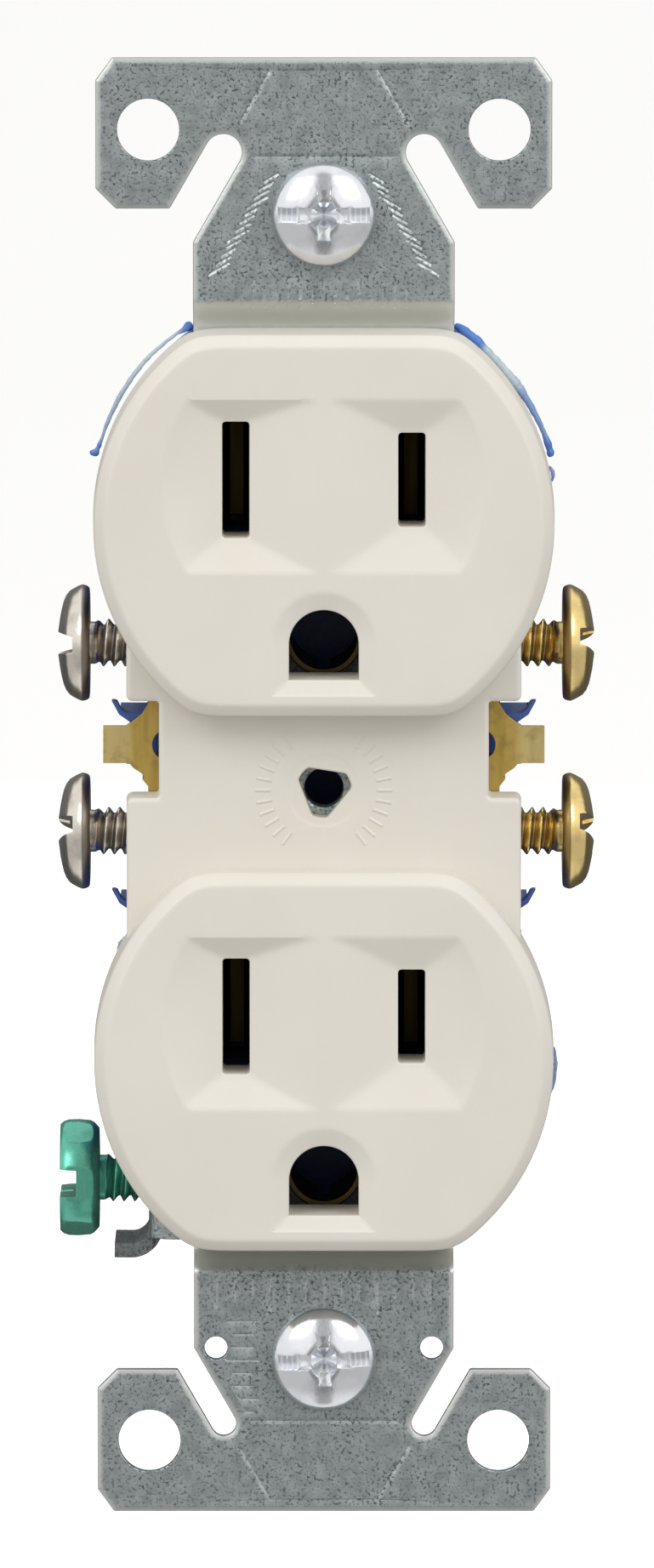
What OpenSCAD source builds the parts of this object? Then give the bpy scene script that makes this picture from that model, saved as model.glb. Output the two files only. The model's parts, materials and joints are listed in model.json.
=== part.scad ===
// Duplex wall outlet, 15 A pattern: a moulded cover and a moulded rear body welded
// together round a galvanised mounting strap, with two brass contact strips, two
// ground contacts, side terminal screws and captive mounting screws.
// Millimetres. X to the right, Z up as installed, and the front faces -Y.
// The origin is the centre of the strap, on the plane that lies against the wall plate.

/* [Strap] */
// Overall height of the strap, ear to ear
strap_h = 105.9; // [104:0.1:108]
// Width of the plaster ears
ear_w = 33; // [31:0.5:36]
// Thickness of the steel
strap_t = 1; // [0.8:0.1:1.2]
// Width of the necks between the ears and the body
neck_w = 18.92; // [17:0.1:20]
// Distance between the two mounting screws
screw_pitch = 83.34; // [83.34:0.01:83.34]
// Distance between the ear holes, across
ear_hole_x = 25.4; // [24:0.1:26]
// Distance between the ear holes, up
ear_hole_z = 95.5; // [94:0.1:97]
// Radius of the ear holes
ear_hole_r = 2.25; // [2:0.05:2.4]
// How far the strap steps back behind the cover
joggle = 1.4; // [1.2:0.1:1.6]
// Width of the strap between the contacts
spine_w = 8.6; // [8:0.1:8.6]

/* [Cover] */
// Radius of each face's outline
face_r = 16.75; // [16.5:0.05:16.8]
// Height of each face across its flats
face_h = 27.8; // [27:0.1:28.2]
// Distance between the centres of the two faces
face_pitch = 38.9; // [38.9:0.1:38.9]
// How far the faces stand in front of the strap
face_proud = 5.6; // [5:0.1:6.2]
// How far the plate between the faces stands in front of the strap
plate_proud = 1.8; // [1.6:0.1:2.2]
// Width of the plate between the faces
plate_w = 28.7; // [28:0.1:29.2]
// Distance between the blade slots
slot_pitch = 12.7; // [12.7:0.1:12.7]
// Width of the blade slots
slot_w = 1.96; // [1.8:0.02:2.2]
// Height of the neutral slots, on the left
neutral_slot_h = 8.38; // [8:0.02:8.6]
// Height of the hot slots, on the right
hot_slot_h = 6.78; // [6.4:0.02:7]
// How far the slots' centres lie above each face's centre
slot_lift = 3.3; // [3:0.1:3.6]
// How far the ground hole lies below the slots
ground_drop = 11.9; // [11.7:0.1:12]
// Radius of the arched ground hole
ground_hole_r = 2.52; // [2.5:0.01:2.6]

/* [Rear body] */
// How far the rear body reaches behind the strap's front plane
body_depth = 20; // [20:0.5:24]
// Radius of the push-in wire holes
wire_hole_r = 1.15; // [1:0.05:1.2]

/* [Terminals] */
// Diameter of the terminal screw heads
terminal_head_d = 8.7; // [8.2:0.1:8.8]
// Thickness of the terminal screw heads
terminal_head_t = 2.4; // [2:0.1:2.5]
// Length of thread under a terminal screw's head
terminal_shank_l = 7.9; // [7.4:0.1:7.9]
// Height of the upper terminal screws above the strap's centre
upper_terminal_z = 9.9; // [9.8:0.1:10]
// Height of the lower terminal screws
lower_terminal_z = -3.9; // [-4:0.1:-3.8]
// Depth of the terminal screws' axes behind the strap's front plane
terminal_y = 8; // [7.8:0.1:8.2]
// Height of the ground screw
ground_screw_z = -29.4; // [-29.6:0.1:-29.2]
// Size of the ground screw's hexagon across its corners
ground_hex_d = 8.6; // [8.2:0.1:8.8]
// Diameter of the mounting screw heads
mount_head_d = 7.6; // [7:0.1:8]
// Length of a mounting screw under its head
mount_shank_l = 25.4; // [20:0.2:32]

/* [Hidden] */
$fn = 64;
e = 0.01;                                   // overrun that keeps a cut from ending on a face

ivory = [0.90, 0.88, 0.83];
blue = [0.25, 0.38, 0.66];
zinc = [0.62, 0.64, 0.63];
brass = [0.78, 0.66, 0.36];
nickel = [0.75, 0.74, 0.72];
green = [0.35, 0.62, 0.52];
fibre = [0.45, 0.30, 0.20];
spring_steel = [0.55, 0.56, 0.58];

// Strap
strap_top = strap_h / 2;
neck_x = neck_w / 2;
spine_y = joggle;                           // front of the strap behind the cover
spine_back = joggle + strap_t;
joggle_z = 35.6;                            // the bend starts here
joggle_end_z = 33.7;
upper_ear_z = 42.05;                        // lower edge of the upper ear
lower_ear_z = 42.5;                         // the lower ear is a little shorter
ear_slot_angle = 60;                        // slant of the snap-off slots
mount_slot_r = 2.1;                         // half the width of the captive screw's slot
mount_slot_half = 1.5;                      // half the distance between its end centres
shoulder_in_z = [27.8, 30.5];               // the upper shoulder, from spine to neck
shoulder_low_z = [-21.6, -24.4];            // the lower shoulder
plate_hole_r = 1.40;                        // tapping radius of the wall-plate screw hole
collar_r = 2.3;                             // its drawn collar
collar_y = 0.2;
ear_top_chamfer = [1.2, 1.65];
ear_low_chamfer = 1.45;
upper_ear_slot = [7.26, 46.1];              // round end of the right-hand snap-off slot
upper_ear_slot_r = 1.34;
lower_ear_slot = [7.3, 46.5];
lower_ear_slot_r = 0.9;
pilot_hole = [7.85, 40.95];                 // small holes in the lower neck
pilot_hole_r = 0.83;
score_z = 45.8;                             // level score line between the slots
score_w = 0.35;
score_depth = 0.2;
pin_clearance_r = 2.75;                     // holes in the strap for the ground pins

// Cover and body planes
parting_y = 2.6;                            // plane where cover and rear body are welded
face_z = face_pitch / 2;
waist_x = 12.0;                             // half width of the cover at its waist
waist_z = [-0.5, 6.4];
cover_wall = 1.5;
face_wall = 2.4;
recess_depth = 1.2;
recess_r = 11.7;                            // radius of the slot recess's rounded sides
recess_top = 9.17;                          // its level edges, above and below a face's centre
recess_low = -3.41;
grip_r = 1.46;                              // from the grip hole's centre to its three sides
grip_corner_r = 2.0;
grip_turn = 9;
slot_x = slot_pitch / 2;

// Body
rim_r = 16.6;                               // the rim lies just inside the faces' outlines
rim_h = 27.6;
rim_back_y = 6;
body_x = 14.35;
body_top_z = 32.4;
deep_r = 15.9;                              // radius of the deep part's rounded ends
terminal_wall_x = 12.2;                     // side wall behind the terminal plates
ground_wall_x = 11.65;
terminal_floor_y = 13.8;                    // back of the terminal recesses
recess_z = [-9.9, 15.2];
ledge_tip_x = 15.5;
ledge_low = -5.6;                           // underside of a ledge, from its screw's axis
ledge_root_top = -3.8;
ledge_tip_top = -3.2;
pin_floor_y = 17.5;                         // ground pins end short of this

// Contacts
sheet_t = 0.8;
sheet_y = 2.8;                              // front of the flat part of each contact strip
sheet_back = sheet_y + sheet_t;
terminal_x = 13.2;                          // outer face of the terminal plates
strip_edge_x = 12.75;                       // edge of the sheet between them
leaf_t = 0.7;
contact_h = 7.6;
contact_back_y = 13.2;
tab_x = 16.05;                              // outer edge of the break-off tab
tab_z = 2.9;
tab_half_h = 1.35;
tab_hole = [11.4, 2.9];                     // hole at the tab's root, half under the cover
tab_hole_r = 1.07;

// Ground contacts
sleeve_r = 2.45;
sleeve_t = 0.7;
ground_rivet_lift = 6.4;
rivet_r = 1.1;

// Screws
shank_r = 1.70;
tapped_r = 1.75;
neutral_seat_x = 17.05;                     // underside of a backed-out neutral head
hot_seat_x = 17.4;
ground_tab_x = 12.8;                        // outer face of the strap's ground tab
ground_tab_top_z = -24.6;
ground_tab_back_y = 12.2;
ground_lip_x = 15.2;                        // tip of its wire lip
ground_lip_z = -35.8;
ground_seat_x = 16.4;
ground_head_t = 2.95;

// Mounting screws and their washers
mount_neck_r = 1.60;                        // under the head, where the washer sits
mount_neck_l = 4.2;
washer_bore_r = 1.65;
washer_y = 2.6;
washer_t = 0.8;
washer_r = 4.2;

// Push-in wire clips
wire_x = 10.95;
wire_lift = 3.15;                           // wire holes lie this far above their screw
clip_pivot = [8.55, 13.0];
clip_tip = [11.75, 7.3];
clip_w = 2.1;
clip_t = 0.4;
clip_roll_r = 0.6;

// A flat shape drawn in X and Z, given thickness from one Y to another
module slab(y0, y1) {
    translate([0, y1, 0])
        rotate([90, 0, 0])
            linear_extrude(y1 - y0)
                children();
}

// A round bar or hole along Y
module bar_y(x, z, r, y0, y1) {
    translate([x, y0, z])
        rotate([-90, 0, 0])
            cylinder(r = r, h = y1 - y0);
}

// A round bar or hole along X, from one |x| to another, on the side given
module bar_x(side, y, z, r, x0, x1) {
    scale([side, 1, 1])
        translate([x0, y, z])
            rotate([0, 90, 0])
                cylinder(r = r, h = x1 - x0);
}

// A box between two corners
module span_box(low, high) {
    translate(low)
        cube(high - low);
}

// The outline of a face: a circle with flats above and below
module face_outline(r, h) {
    intersection() {
        circle(r = r, $fn = 128);
        square([2 * r + 2, h], center = true);
    }
}

// Both faces at their places
module both_faces() {
    for (z = [face_z, -face_z])
        translate([0, z])
            children();
}

// ---- Mounting strap ----

// One slanted snap-off slot, on the right of the upper ear
module ear_slot(x, z, r) {
    translate([x, z]) {
        circle(r = r);
        rotate(-ear_slot_angle)
            translate([0, -r])
                square([9, 2 * r]);
    }
}

// An ear and its neck, drawn for the upper end
module ear_2d(bottom_z, slot_at, slot_r) {
    half = ear_w / 2;
    top = ear_top_chamfer;
    low = ear_low_chamfer;
    difference() {
        union() {
            polygon([
                [-half, strap_top - top[1]], [-half + top[0], strap_top],
                [half - top[0], strap_top], [half, strap_top - top[1]],
                [half, bottom_z + low], [half - low, bottom_z],
                [-half + low, bottom_z], [-half, bottom_z + low]
            ]);
            translate([-neck_x, joggle_z])
                square([neck_w, bottom_z - joggle_z + 1]);
        }
        for (side = [-1, 1])
            scale([side, 1])
                ear_slot(slot_at[0], slot_at[1], slot_r);
        for (x = [-ear_hole_x / 2, ear_hole_x / 2])
            translate([x, ear_hole_z / 2])
                circle(r = ear_hole_r);
        translate([0, screw_pitch / 2]) {
            square([2 * mount_slot_half, 2 * mount_slot_r], center = true);
            for (x = [-mount_slot_half, mount_slot_half])
                translate([x, 0])
                    circle(r = mount_slot_r);
        }
    }
}

// Shallow score lines that help the ears snap off
module ear_scores() {
    translate([0, 0, score_z])
        cube([12, 2 * score_depth, score_w], center = true);
    for (side = [-1, 1])
        scale([side, 1, 1])
            translate([5.1, 0, 50])
                rotate([0, -ear_slot_angle, 0])
                    cube([5.6, 2 * score_depth, score_w], center = true);
}

// The part of the strap behind the cover
module spine_2d() {
    half = spine_w / 2;
    polygon([
        [-neck_x, joggle_end_z], [-neck_x, shoulder_in_z[1]], [-half, shoulder_in_z[0]],
        [-half, shoulder_low_z[0]], [-neck_x, shoulder_low_z[1]], [-neck_x, -joggle_end_z],
        [neck_x, -joggle_end_z], [neck_x, shoulder_low_z[1]], [half, shoulder_low_z[0]],
        [half, shoulder_in_z[0]], [neck_x, shoulder_in_z[1]], [neck_x, joggle_end_z]
    ]);
}

// The bend from the ear's plane back to the spine's plane, at the upper end
module joggle_bend() {
    translate([-neck_x, 0, 0])
        rotate([90, 0, 90])
            linear_extrude(neck_w)
                polygon([
                    [0, joggle_z], [strap_t, joggle_z],
                    [spine_back, joggle_end_z], [spine_y, joggle_end_z]
                ]);
}

// The bent tab that takes the ground screw, with its wire lip
module ground_tab() {
    inner = ground_tab_x - 1.1;
    difference() {
        union() {
            span_box(
                [-ground_tab_x, spine_y, -33.4],
                [-neck_x + 1, spine_back, ground_tab_top_z]
            );
            span_box(
                [-ground_tab_x, spine_y, ground_lip_z],
                [-inner, ground_tab_back_y, ground_tab_top_z]
            );
            span_box(
                [-ground_lip_x, 4.4, ground_lip_z],
                [-inner, ground_tab_back_y, ground_lip_z + 1.2]
            );
        }
        bar_x(-1, terminal_y, ground_screw_z, tapped_r, inner - 1, ground_tab_x + 1);
    }
}

module mounting_strap() {
    color(zinc)
        difference() {
            union() {
                slab(0, strap_t)
                    ear_2d(upper_ear_z, upper_ear_slot, upper_ear_slot_r);
                slab(0, strap_t)
                    mirror([0, 1])
                        difference() {
                            ear_2d(lower_ear_z, lower_ear_slot, lower_ear_slot_r);
                            for (side = [-1, 1])
                                translate([side * pilot_hole[0], pilot_hole[1]])
                                    circle(r = pilot_hole_r);
                        }
                joggle_bend();
                mirror([0, 0, 1])
                    joggle_bend();
                slab(spine_y, spine_back)
                    spine_2d();
                bar_y(0, 0, collar_r, collar_y, spine_y + e);
                ground_tab();
            }
            ear_scores();
            mirror([0, 0, 1])
                ear_scores();
            bar_y(0, 0, plate_hole_r, 0, 5);
            for (z = [face_z, -face_z]) {
                ground_z = z + slot_lift - ground_drop;
                bar_y(0, ground_z, pin_clearance_r, 0, 4);
                bar_y(0, ground_z + ground_rivet_lift, rivet_r, 0, 4);
            }
        }
}

// ---- Front cover ----

// The outline of the shallow recess round the slots of one face
module recess_2d() {
    middle = (recess_top + recess_low) / 2;
    intersection() {
        translate([0, middle])
            circle(r = recess_r);
        translate([0, middle])
            square([2 * recess_r, recess_top - recess_low], center = true);
    }
}

// The arched ground hole, round above and square below
module ground_arch_2d(r) {
    circle(r = r);
    translate([-r, -r])
        square([2 * r, r]);
}

// Everything cut through one face, about that face's centre
module face_cuts_2d() {
    translate([-slot_x, slot_lift])
        square([slot_w, neutral_slot_h], center = true);
    translate([slot_x, slot_lift])
        square([slot_w, hot_slot_h], center = true);
    translate([0, slot_lift - ground_drop])
        ground_arch_2d(ground_hole_r);
}

// Short guides behind the face that steer the blades and the ground pin
module face_guides() {
    slab(-face_proud + face_wall - e, 1.2)
        both_faces()
            difference() {
                union() {
                    for (x = [-slot_x, slot_x])
                        translate([x, slot_lift])
                            square([3.4, 11], center = true);
                    translate([0, slot_lift - ground_drop])
                        circle(r = ground_hole_r + 1.1);
                }
                face_cuts_2d();
            }
}

// The three-sided hole that grips the wall-plate screw
module grip_hole_2d() {
    rotate(-grip_turn)
        intersection() {
            circle(r = 2 * grip_r, $fn = 3);
            circle(r = grip_corner_r, $fn = 12);
        }
}

module front_cover() {
    color(ivory)
        difference() {
            union() {
                difference() {
                    union() {
                        slab(-face_proud + 0.5, parting_y)
                            both_faces()
                                face_outline(face_r, face_h);
                        slab(-face_proud, -face_proud + 0.5 + e)
                            both_faces()
                                face_outline(face_r - 0.3, face_h - 0.6);
                        slab(-plate_proud, parting_y)
                            square([plate_w, 2 * face_z], center = true);
                    }
                    slab(-face_proud + face_wall, parting_y + e)
                        both_faces()
                            face_outline(face_r - cover_wall, face_h - 2 * cover_wall);
                    slab(-plate_proud + cover_wall, parting_y + e)
                        square([2 * (waist_x - cover_wall), 2 * face_z], center = true);
                    for (side = [-1, 1])
                        scale([side, 1, 1])
                            span_box(
                                [waist_x, -face_proud, waist_z[0]],
                                [face_r, parting_y + e, waist_z[1]]
                            );
                }
                face_guides();
                bar_y(0, 0, collar_r + 1.1, -plate_proud + e, 1.2);
            }
            bar_y(0, 0, collar_r + 0.15, collar_y - 0.1, 2);
            slab(-face_proud - 1, -face_proud + recess_depth)
                both_faces()
                    recess_2d();
            slab(-face_proud - 1, parting_y)
                both_faces()
                    face_cuts_2d();
            slab(-face_proud - 1, parting_y)
                grip_hole_2d();
            for (end = [-1, 1])
                scale([1, 1, end])
                    span_box([-neck_x - 0.15, 1.3, 29], [neck_x + 0.15, 3, 35]);
            span_box([-face_r, 1.3, -34], [-neck_x, 3, -24.4]);
        }
}

// ---- Rear body ----

// A pocket in both halves of the body, the same on the left and the right
module side_pockets(low, high) {
    for (side = [-1, 1])
        scale([side, 1, 1])
            span_box(low, high);
}

// The upturned ledge under a terminal screw, on the right
module wire_ledge(z) {
    difference() {
        translate([0, terminal_floor_y + e, z])
            rotate([90, 0, 0])
                linear_extrude(terminal_floor_y - 3.9)
                    difference() {
                        polygon([
                            [terminal_wall_x - 0.2, ledge_low], [ledge_tip_x - 1.6, ledge_low],
                            [ledge_tip_x - 0.6, ledge_low + 0.7], [ledge_tip_x, ledge_root_top],
                            [ledge_tip_x - 0.1, ledge_tip_top],
                            [ledge_tip_x - 2, ledge_root_top],
                            [terminal_wall_x - 0.2, ledge_root_top]
                        ]);
                        translate([13, -1.5])
                            circle(r = 2.6);
                    }
        bar_x(1, terminal_y, z, terminal_head_d / 2 + 0.2, terminal_x - 0.2, 20);
    }
}

// Everything a pair of female contacts and their strip need inside the body
module contact_pockets() {
    side_pockets([7.4, parting_y - e, -20.9], [10.3, sheet_back, 27.4]);
    side_pockets([8.8, parting_y - e, -8.8], [terminal_wall_x + 1, sheet_back, 14.8]);
    for (z = [face_z, -face_z])
        side_pockets(
            [4.25, parting_y - e, z + slot_lift - 4.4],
            [8.9, 15.2, z + slot_lift + 4.4]
        );
}

// The pocket for one ground contact and its base plate
module ground_pocket(z) {
    bar_y(0, z, 3.7, parting_y - e, pin_floor_y);
    span_box([-3.5, parting_y - e, z - 3.6], [3.5, 3.2, z + 8.6]);
    bar_y(0, z + ground_rivet_lift, 2.2, 3, 4.2);
}

// The push-in chamber, wire hole and release slot beside one terminal screw
module push_in_chamber(z) {
    side_pockets([7.7, 6.0, z - 1.2], [terminal_wall_x + e, 14.0, z + 1.2]);
    for (side = [-1, 1])
        bar_y(side * wire_x, z, wire_hole_r, 13.9, body_depth + 1);
    side_pockets([8.1, 13.9, z - 0.9], [9.3, body_depth + 1, z + 0.9]);
}

// The outline of the deep part of the body, moved inwards by inset
module body_outline(inset) {
    both_faces()
        face_outline(deep_r - inset, 2 * (body_top_z - face_z - inset));
    square([2 * (body_x - 0.5 - inset), 2 * face_z], center = true);
}

module rear_body() {
    color(blue)
        difference() {
            union() {
                difference() {
                    union() {
                        slab(parting_y, rim_back_y)
                            both_faces()
                                face_outline(rim_r, rim_h);
                        slab(parting_y, rim_back_y)
                            square([2 * body_x, 2 * face_z], center = true);
                        slab(rim_back_y - e, body_depth - 1)
                            body_outline(0);
                        slab(body_depth - 1 - e, body_depth)
                            body_outline(0.7);
                    }
                    side_pockets(
                        [terminal_wall_x, parting_y - e, recess_z[0]],
                        [20, terminal_floor_y, recess_z[1]]
                    );
                    span_box([-20, parting_y - e, -36], [-ground_wall_x, 13, -23.6]);
                }
                for (side = [-1, 1])
                    for (z = [upper_terminal_z, lower_terminal_z])
                        scale([side, 1, 1])
                            wire_ledge(z);
            }
            contact_pockets();
            for (z = [face_z, -face_z])
                ground_pocket(z + slot_lift - ground_drop);
            span_box([-2.4, parting_y - e, -2.4], [2.4, 14, 2.4]);
            for (z = [upper_terminal_z, lower_terminal_z]) {
                push_in_chamber(z + wire_lift);
                for (side = [-1, 1])
                    bar_x(side, terminal_y, z, 2.0, 4.9, 14);
            }
            bar_x(-1, terminal_y, ground_screw_z, 2.0, 4.6, 14);
            slab(body_depth - 0.6, body_depth + 1)
                translate([0, -26])
                    square([14, 1.6], center = true);
        }
}

// ---- Contact strips ----

// A thin leaf that follows points in X and Y, with the strip's thickness
module leaf_2d(path) {
    last = len(path) - 1;
    polygon(concat(
        [for (p = path) [p[0] + leaf_t / 2, p[1]]],
        [for (i = [last:-1:0]) [path[i][0] - leaf_t / 2, path[i][1]]]
    ));
}

// One female contact that wipes both sides of a blade, about height z
module blade_contact(z) {
    reach = 1.6;                            // from the blade's centre to a leaf
    pinch = 0.85;                           // the same where the leaves close in
    translate([0, 0, z - contact_h / 2])
        linear_extrude(contact_h) {
            leaf_2d([
                [slot_x + reach, sheet_y + e], [slot_x + reach, 4.4],
                [slot_x + pinch, 7.6], [slot_x + reach, contact_back_y]
            ]);
            leaf_2d([
                [slot_x - reach, 3.4], [slot_x - pinch, 7.6],
                [slot_x - reach, contact_back_y]
            ]);
            translate([slot_x - reach - leaf_t / 2, contact_back_y - leaf_t])
                square([2 * reach + leaf_t, leaf_t]);
        }
}

// The flat sheet that joins two terminals, two contacts and the break-off tab
module strip_2d() {
    difference() {
        union() {
            translate([slot_x + 1.25, -20.4])
                square([2.4, 47.2]);
            translate([9.2, -7.6])
                square([strip_edge_x - 9.2, 21.9]);
            polygon([
                [strip_edge_x - 0.1, 6.1], [strip_edge_x + 0.5, 5.1],
                [14.4, tab_z + tab_half_h], [tab_x, tab_z + tab_half_h],
                [tab_x, tab_z - tab_half_h], [14.4, tab_z - tab_half_h],
                [strip_edge_x + 0.5, 0.8], [strip_edge_x - 0.1, -0.1]
            ]);
        }
        translate(tab_hole)
            circle(r = tab_hole_r);
    }
}

// One brass stamping, on the right
module contact_strip() {
    difference() {
        union() {
            slab(sheet_y, sheet_back)
                strip_2d();
            for (z = [upper_terminal_z, lower_terminal_z])
                span_box([terminal_wall_x, sheet_y, z - 3.7], [terminal_x, 12.8, z + 4.4]);
            for (z = [face_z, -face_z])
                blade_contact(z + slot_lift);
        }
        for (z = [upper_terminal_z, lower_terminal_z])
            bar_x(1, terminal_y, z, tapped_r, 11, 14);
    }
}

module hot_contact_strip() {
    color(brass)
        contact_strip();
}

module neutral_contact_strip() {
    color(brass)
        mirror([1, 0, 0])
            contact_strip();
}

// ---- Ground contacts ----

// A rolled sleeve on a base plate that is riveted to the strap
module ground_contact(z) {
    color(brass)
        difference() {
            union() {
                span_box([-3.4, spine_back, z - 3.4], [3.4, spine_back + sleeve_t, z + 8.4]);
                bar_y(0, z, sleeve_r + sleeve_t, spine_back, 12.6);
            }
            bar_y(0, z, sleeve_r, 0, 14);
            span_box([-0.5, spine_back + sleeve_t, z - 4], [0.5, 14, z]);
            bar_y(0, z + ground_rivet_lift, rivet_r, 0, 5);
        }
}

module upper_ground_contact() {
    ground_contact(face_z + slot_lift - ground_drop);
}

module lower_ground_contact() {
    ground_contact(-face_z + slot_lift - ground_drop);
}

// The two rivets that hold the ground contacts on the strap
module ground_contact_rivets() {
    color(zinc)
        for (z = [face_z, -face_z])
            translate([0, 0, z + slot_lift - ground_drop + ground_rivet_lift]) {
                bar_y(0, 0, rivet_r, spine_y, spine_back + sleeve_t);
                bar_y(0, 0, 1.9, spine_y - 0.6, spine_y);
                bar_y(0, 0, 1.9, spine_back + sleeve_t, spine_back + sleeve_t + 0.7);
            }
}

// ---- Screws ----

// A terminal screw that points along -X, its head's underside at the origin
module terminal_screw(slot_angle) {
    r = terminal_head_d / 2;
    difference() {
        union() {
            rotate([0, 90, 0])
                rotate_extrude()
                    polygon([
                        [0, -e], [shank_r, -e], [3.2, 0], [r, 0.5],
                        [r, 1.3], [3.6, 2.1], [1.8, terminal_head_t], [0, terminal_head_t]
                    ]);
            rotate([0, -90, 0])
                cylinder(r = shank_r, h = terminal_shank_l);
        }
        rotate([slot_angle, 0, 0])
            translate([terminal_head_t, 0, 0])
                cube([2.2, 1.4, 2 * r + 1], center = true);
    }
}

module terminal_screw_at(side, seat_x, z, slot_angle) {
    scale([side, 1, 1])
        translate([seat_x, terminal_y, z])
            terminal_screw(slot_angle);
}

module upper_hot_screw() {
    color(brass)
        terminal_screw_at(1, hot_seat_x, upper_terminal_z, 78);
}

module lower_hot_screw() {
    color(brass)
        terminal_screw_at(1, hot_seat_x, lower_terminal_z, 74);
}

module upper_neutral_screw() {
    color(nickel)
        terminal_screw_at(-1, neutral_seat_x, upper_terminal_z, 87);
}

module lower_neutral_screw() {
    color(nickel)
        terminal_screw_at(-1, neutral_seat_x, lower_terminal_z, 77);
}

module ground_screw() {
    color(green)
        scale([-1, 1, 1])
            translate([ground_seat_x, terminal_y, ground_screw_z])
                difference() {
                    union() {
                        rotate([0, 90, 0])
                            cylinder(d = ground_hex_d, h = ground_head_t, $fn = 6);
                        rotate([0, -90, 0])
                            cylinder(r = shank_r, h = terminal_shank_l);
                    }
                    rotate([60, 0, 0])
                        translate([ground_head_t, 0, 0])
                            cube([2.5, 1.37, ground_hex_d + 1], center = true);
                }
}

// A mounting screw with its head on the strap's front
module mounting_screw(z) {
    r = mount_head_d / 2;
    color(zinc)
        translate([0, 0, z])
            difference() {
                rotate([90, 0, 0])
                    rotate_extrude()
                        polygon([
                            [0, -mount_shank_l], [shank_r - 0.5, -mount_shank_l],
                            [shank_r, -mount_shank_l + 0.8], [shank_r, -mount_neck_l],
                            [mount_neck_r, -mount_neck_l], [mount_neck_r, 0],
                            [r, 0], [r, 0.7], [3.1, 1.7], [1.9, 2.2], [0, 2.3]
                        ]);
                translate([0, -2.3, 0])
                    cube([mount_head_d + 1, 1.8, 1.1], center = true);
                translate([0, -2.3, 0])
                    cube([1.1, 2.6, 4], center = true);
            }
}

module upper_mounting_screw() {
    mounting_screw(screw_pitch / 2);
}

module lower_mounting_screw() {
    mounting_screw(-screw_pitch / 2);
}

// A fibre washer that keeps a mounting screw in its slot
module retaining_washer(z) {
    color(fibre)
        difference() {
            bar_y(0, z, washer_r, washer_y, washer_y + washer_t);
            bar_y(0, z, washer_bore_r, washer_y - 1, washer_y + washer_t + 1);
        }
}

module upper_retaining_washer() {
    retaining_washer(screw_pitch / 2);
}

module lower_retaining_washer() {
    retaining_washer(-screw_pitch / 2);
}

// ---- Push-in wire clips ----

// A spring leaf that pinches a wire against the terminal plate, on the right
module wire_clip(z) {
    run = clip_tip - clip_pivot;
    color(spring_steel)
        translate([clip_pivot[0], clip_pivot[1], z - clip_w / 2]) {
            cylinder(r = clip_roll_r, h = clip_w);
            rotate([0, 0, atan2(run[1], run[0])])
                translate([0, -clip_t / 2, 0])
                    cube([norm(run), clip_t, clip_w]);
        }
}

module upper_hot_wire_clip() {
    wire_clip(upper_terminal_z + wire_lift);
}

module lower_hot_wire_clip() {
    wire_clip(lower_terminal_z + wire_lift);
}

module upper_neutral_wire_clip() {
    mirror([1, 0, 0])
        wire_clip(upper_terminal_z + wire_lift);
}

module lower_neutral_wire_clip() {
    mirror([1, 0, 0])
        wire_clip(lower_terminal_z + wire_lift);
}

front_cover();
rear_body();
mounting_strap();
hot_contact_strip();
neutral_contact_strip();
upper_ground_contact();
lower_ground_contact();
ground_contact_rivets();
upper_hot_screw();
lower_hot_screw();
upper_neutral_screw();
lower_neutral_screw();
ground_screw();
upper_mounting_screw();
lower_mounting_screw();
upper_retaining_washer();
lower_retaining_washer();
upper_hot_wire_clip();
lower_hot_wire_clip();
upper_neutral_wire_clip();
lower_neutral_wire_clip();
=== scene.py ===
"""Duplex wall outlet: the looks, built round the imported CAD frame."""
import json
import math
import random

import bmesh
import bpy
import numpy as np
from mathutils import Matrix, Vector
from mathutils.geometry import delaunay_2d_cdt

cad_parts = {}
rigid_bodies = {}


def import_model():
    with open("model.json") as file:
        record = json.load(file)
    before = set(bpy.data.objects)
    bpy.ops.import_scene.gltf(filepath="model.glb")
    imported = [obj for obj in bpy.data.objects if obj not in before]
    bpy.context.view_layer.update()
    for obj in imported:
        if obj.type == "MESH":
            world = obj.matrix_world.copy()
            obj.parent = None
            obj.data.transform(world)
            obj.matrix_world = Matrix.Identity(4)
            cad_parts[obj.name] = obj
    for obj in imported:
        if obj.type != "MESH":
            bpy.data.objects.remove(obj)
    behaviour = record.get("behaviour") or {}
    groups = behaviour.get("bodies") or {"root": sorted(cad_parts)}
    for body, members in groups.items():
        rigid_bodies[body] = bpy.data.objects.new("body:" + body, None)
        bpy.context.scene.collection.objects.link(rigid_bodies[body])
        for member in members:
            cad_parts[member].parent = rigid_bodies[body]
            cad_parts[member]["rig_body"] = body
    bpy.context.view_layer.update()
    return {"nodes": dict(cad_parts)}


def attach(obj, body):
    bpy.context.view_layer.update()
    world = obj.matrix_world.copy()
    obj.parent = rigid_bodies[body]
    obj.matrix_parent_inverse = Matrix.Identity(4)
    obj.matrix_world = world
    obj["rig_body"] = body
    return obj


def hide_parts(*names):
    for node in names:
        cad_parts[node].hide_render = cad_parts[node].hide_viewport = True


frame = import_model()

MM = 0.001
TAU = 2 * math.pi
SLIVER = 1e-4  # least area of a face, as a share of its longest side squared


# ---- mesh helpers

def link_mesh(name, bm):
    """Put a bmesh drawn in metres into the scene as an object."""
    mesh = bpy.data.meshes.new(name)
    bm.to_mesh(mesh)
    bm.free()
    obj = bpy.data.objects.new(name, mesh)
    bpy.context.scene.collection.objects.link(obj)
    return obj


def new_object(name, bm):
    """Make an object from a bmesh drawn in millimetres."""
    bmesh.ops.remove_doubles(bm, verts=bm.verts, dist=2e-4)
    bmesh.ops.recalc_face_normals(bm, faces=bm.faces)
    obj = link_mesh(name, bm)
    obj.data.transform(Matrix.Scale(MM, 4))
    return obj


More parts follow.
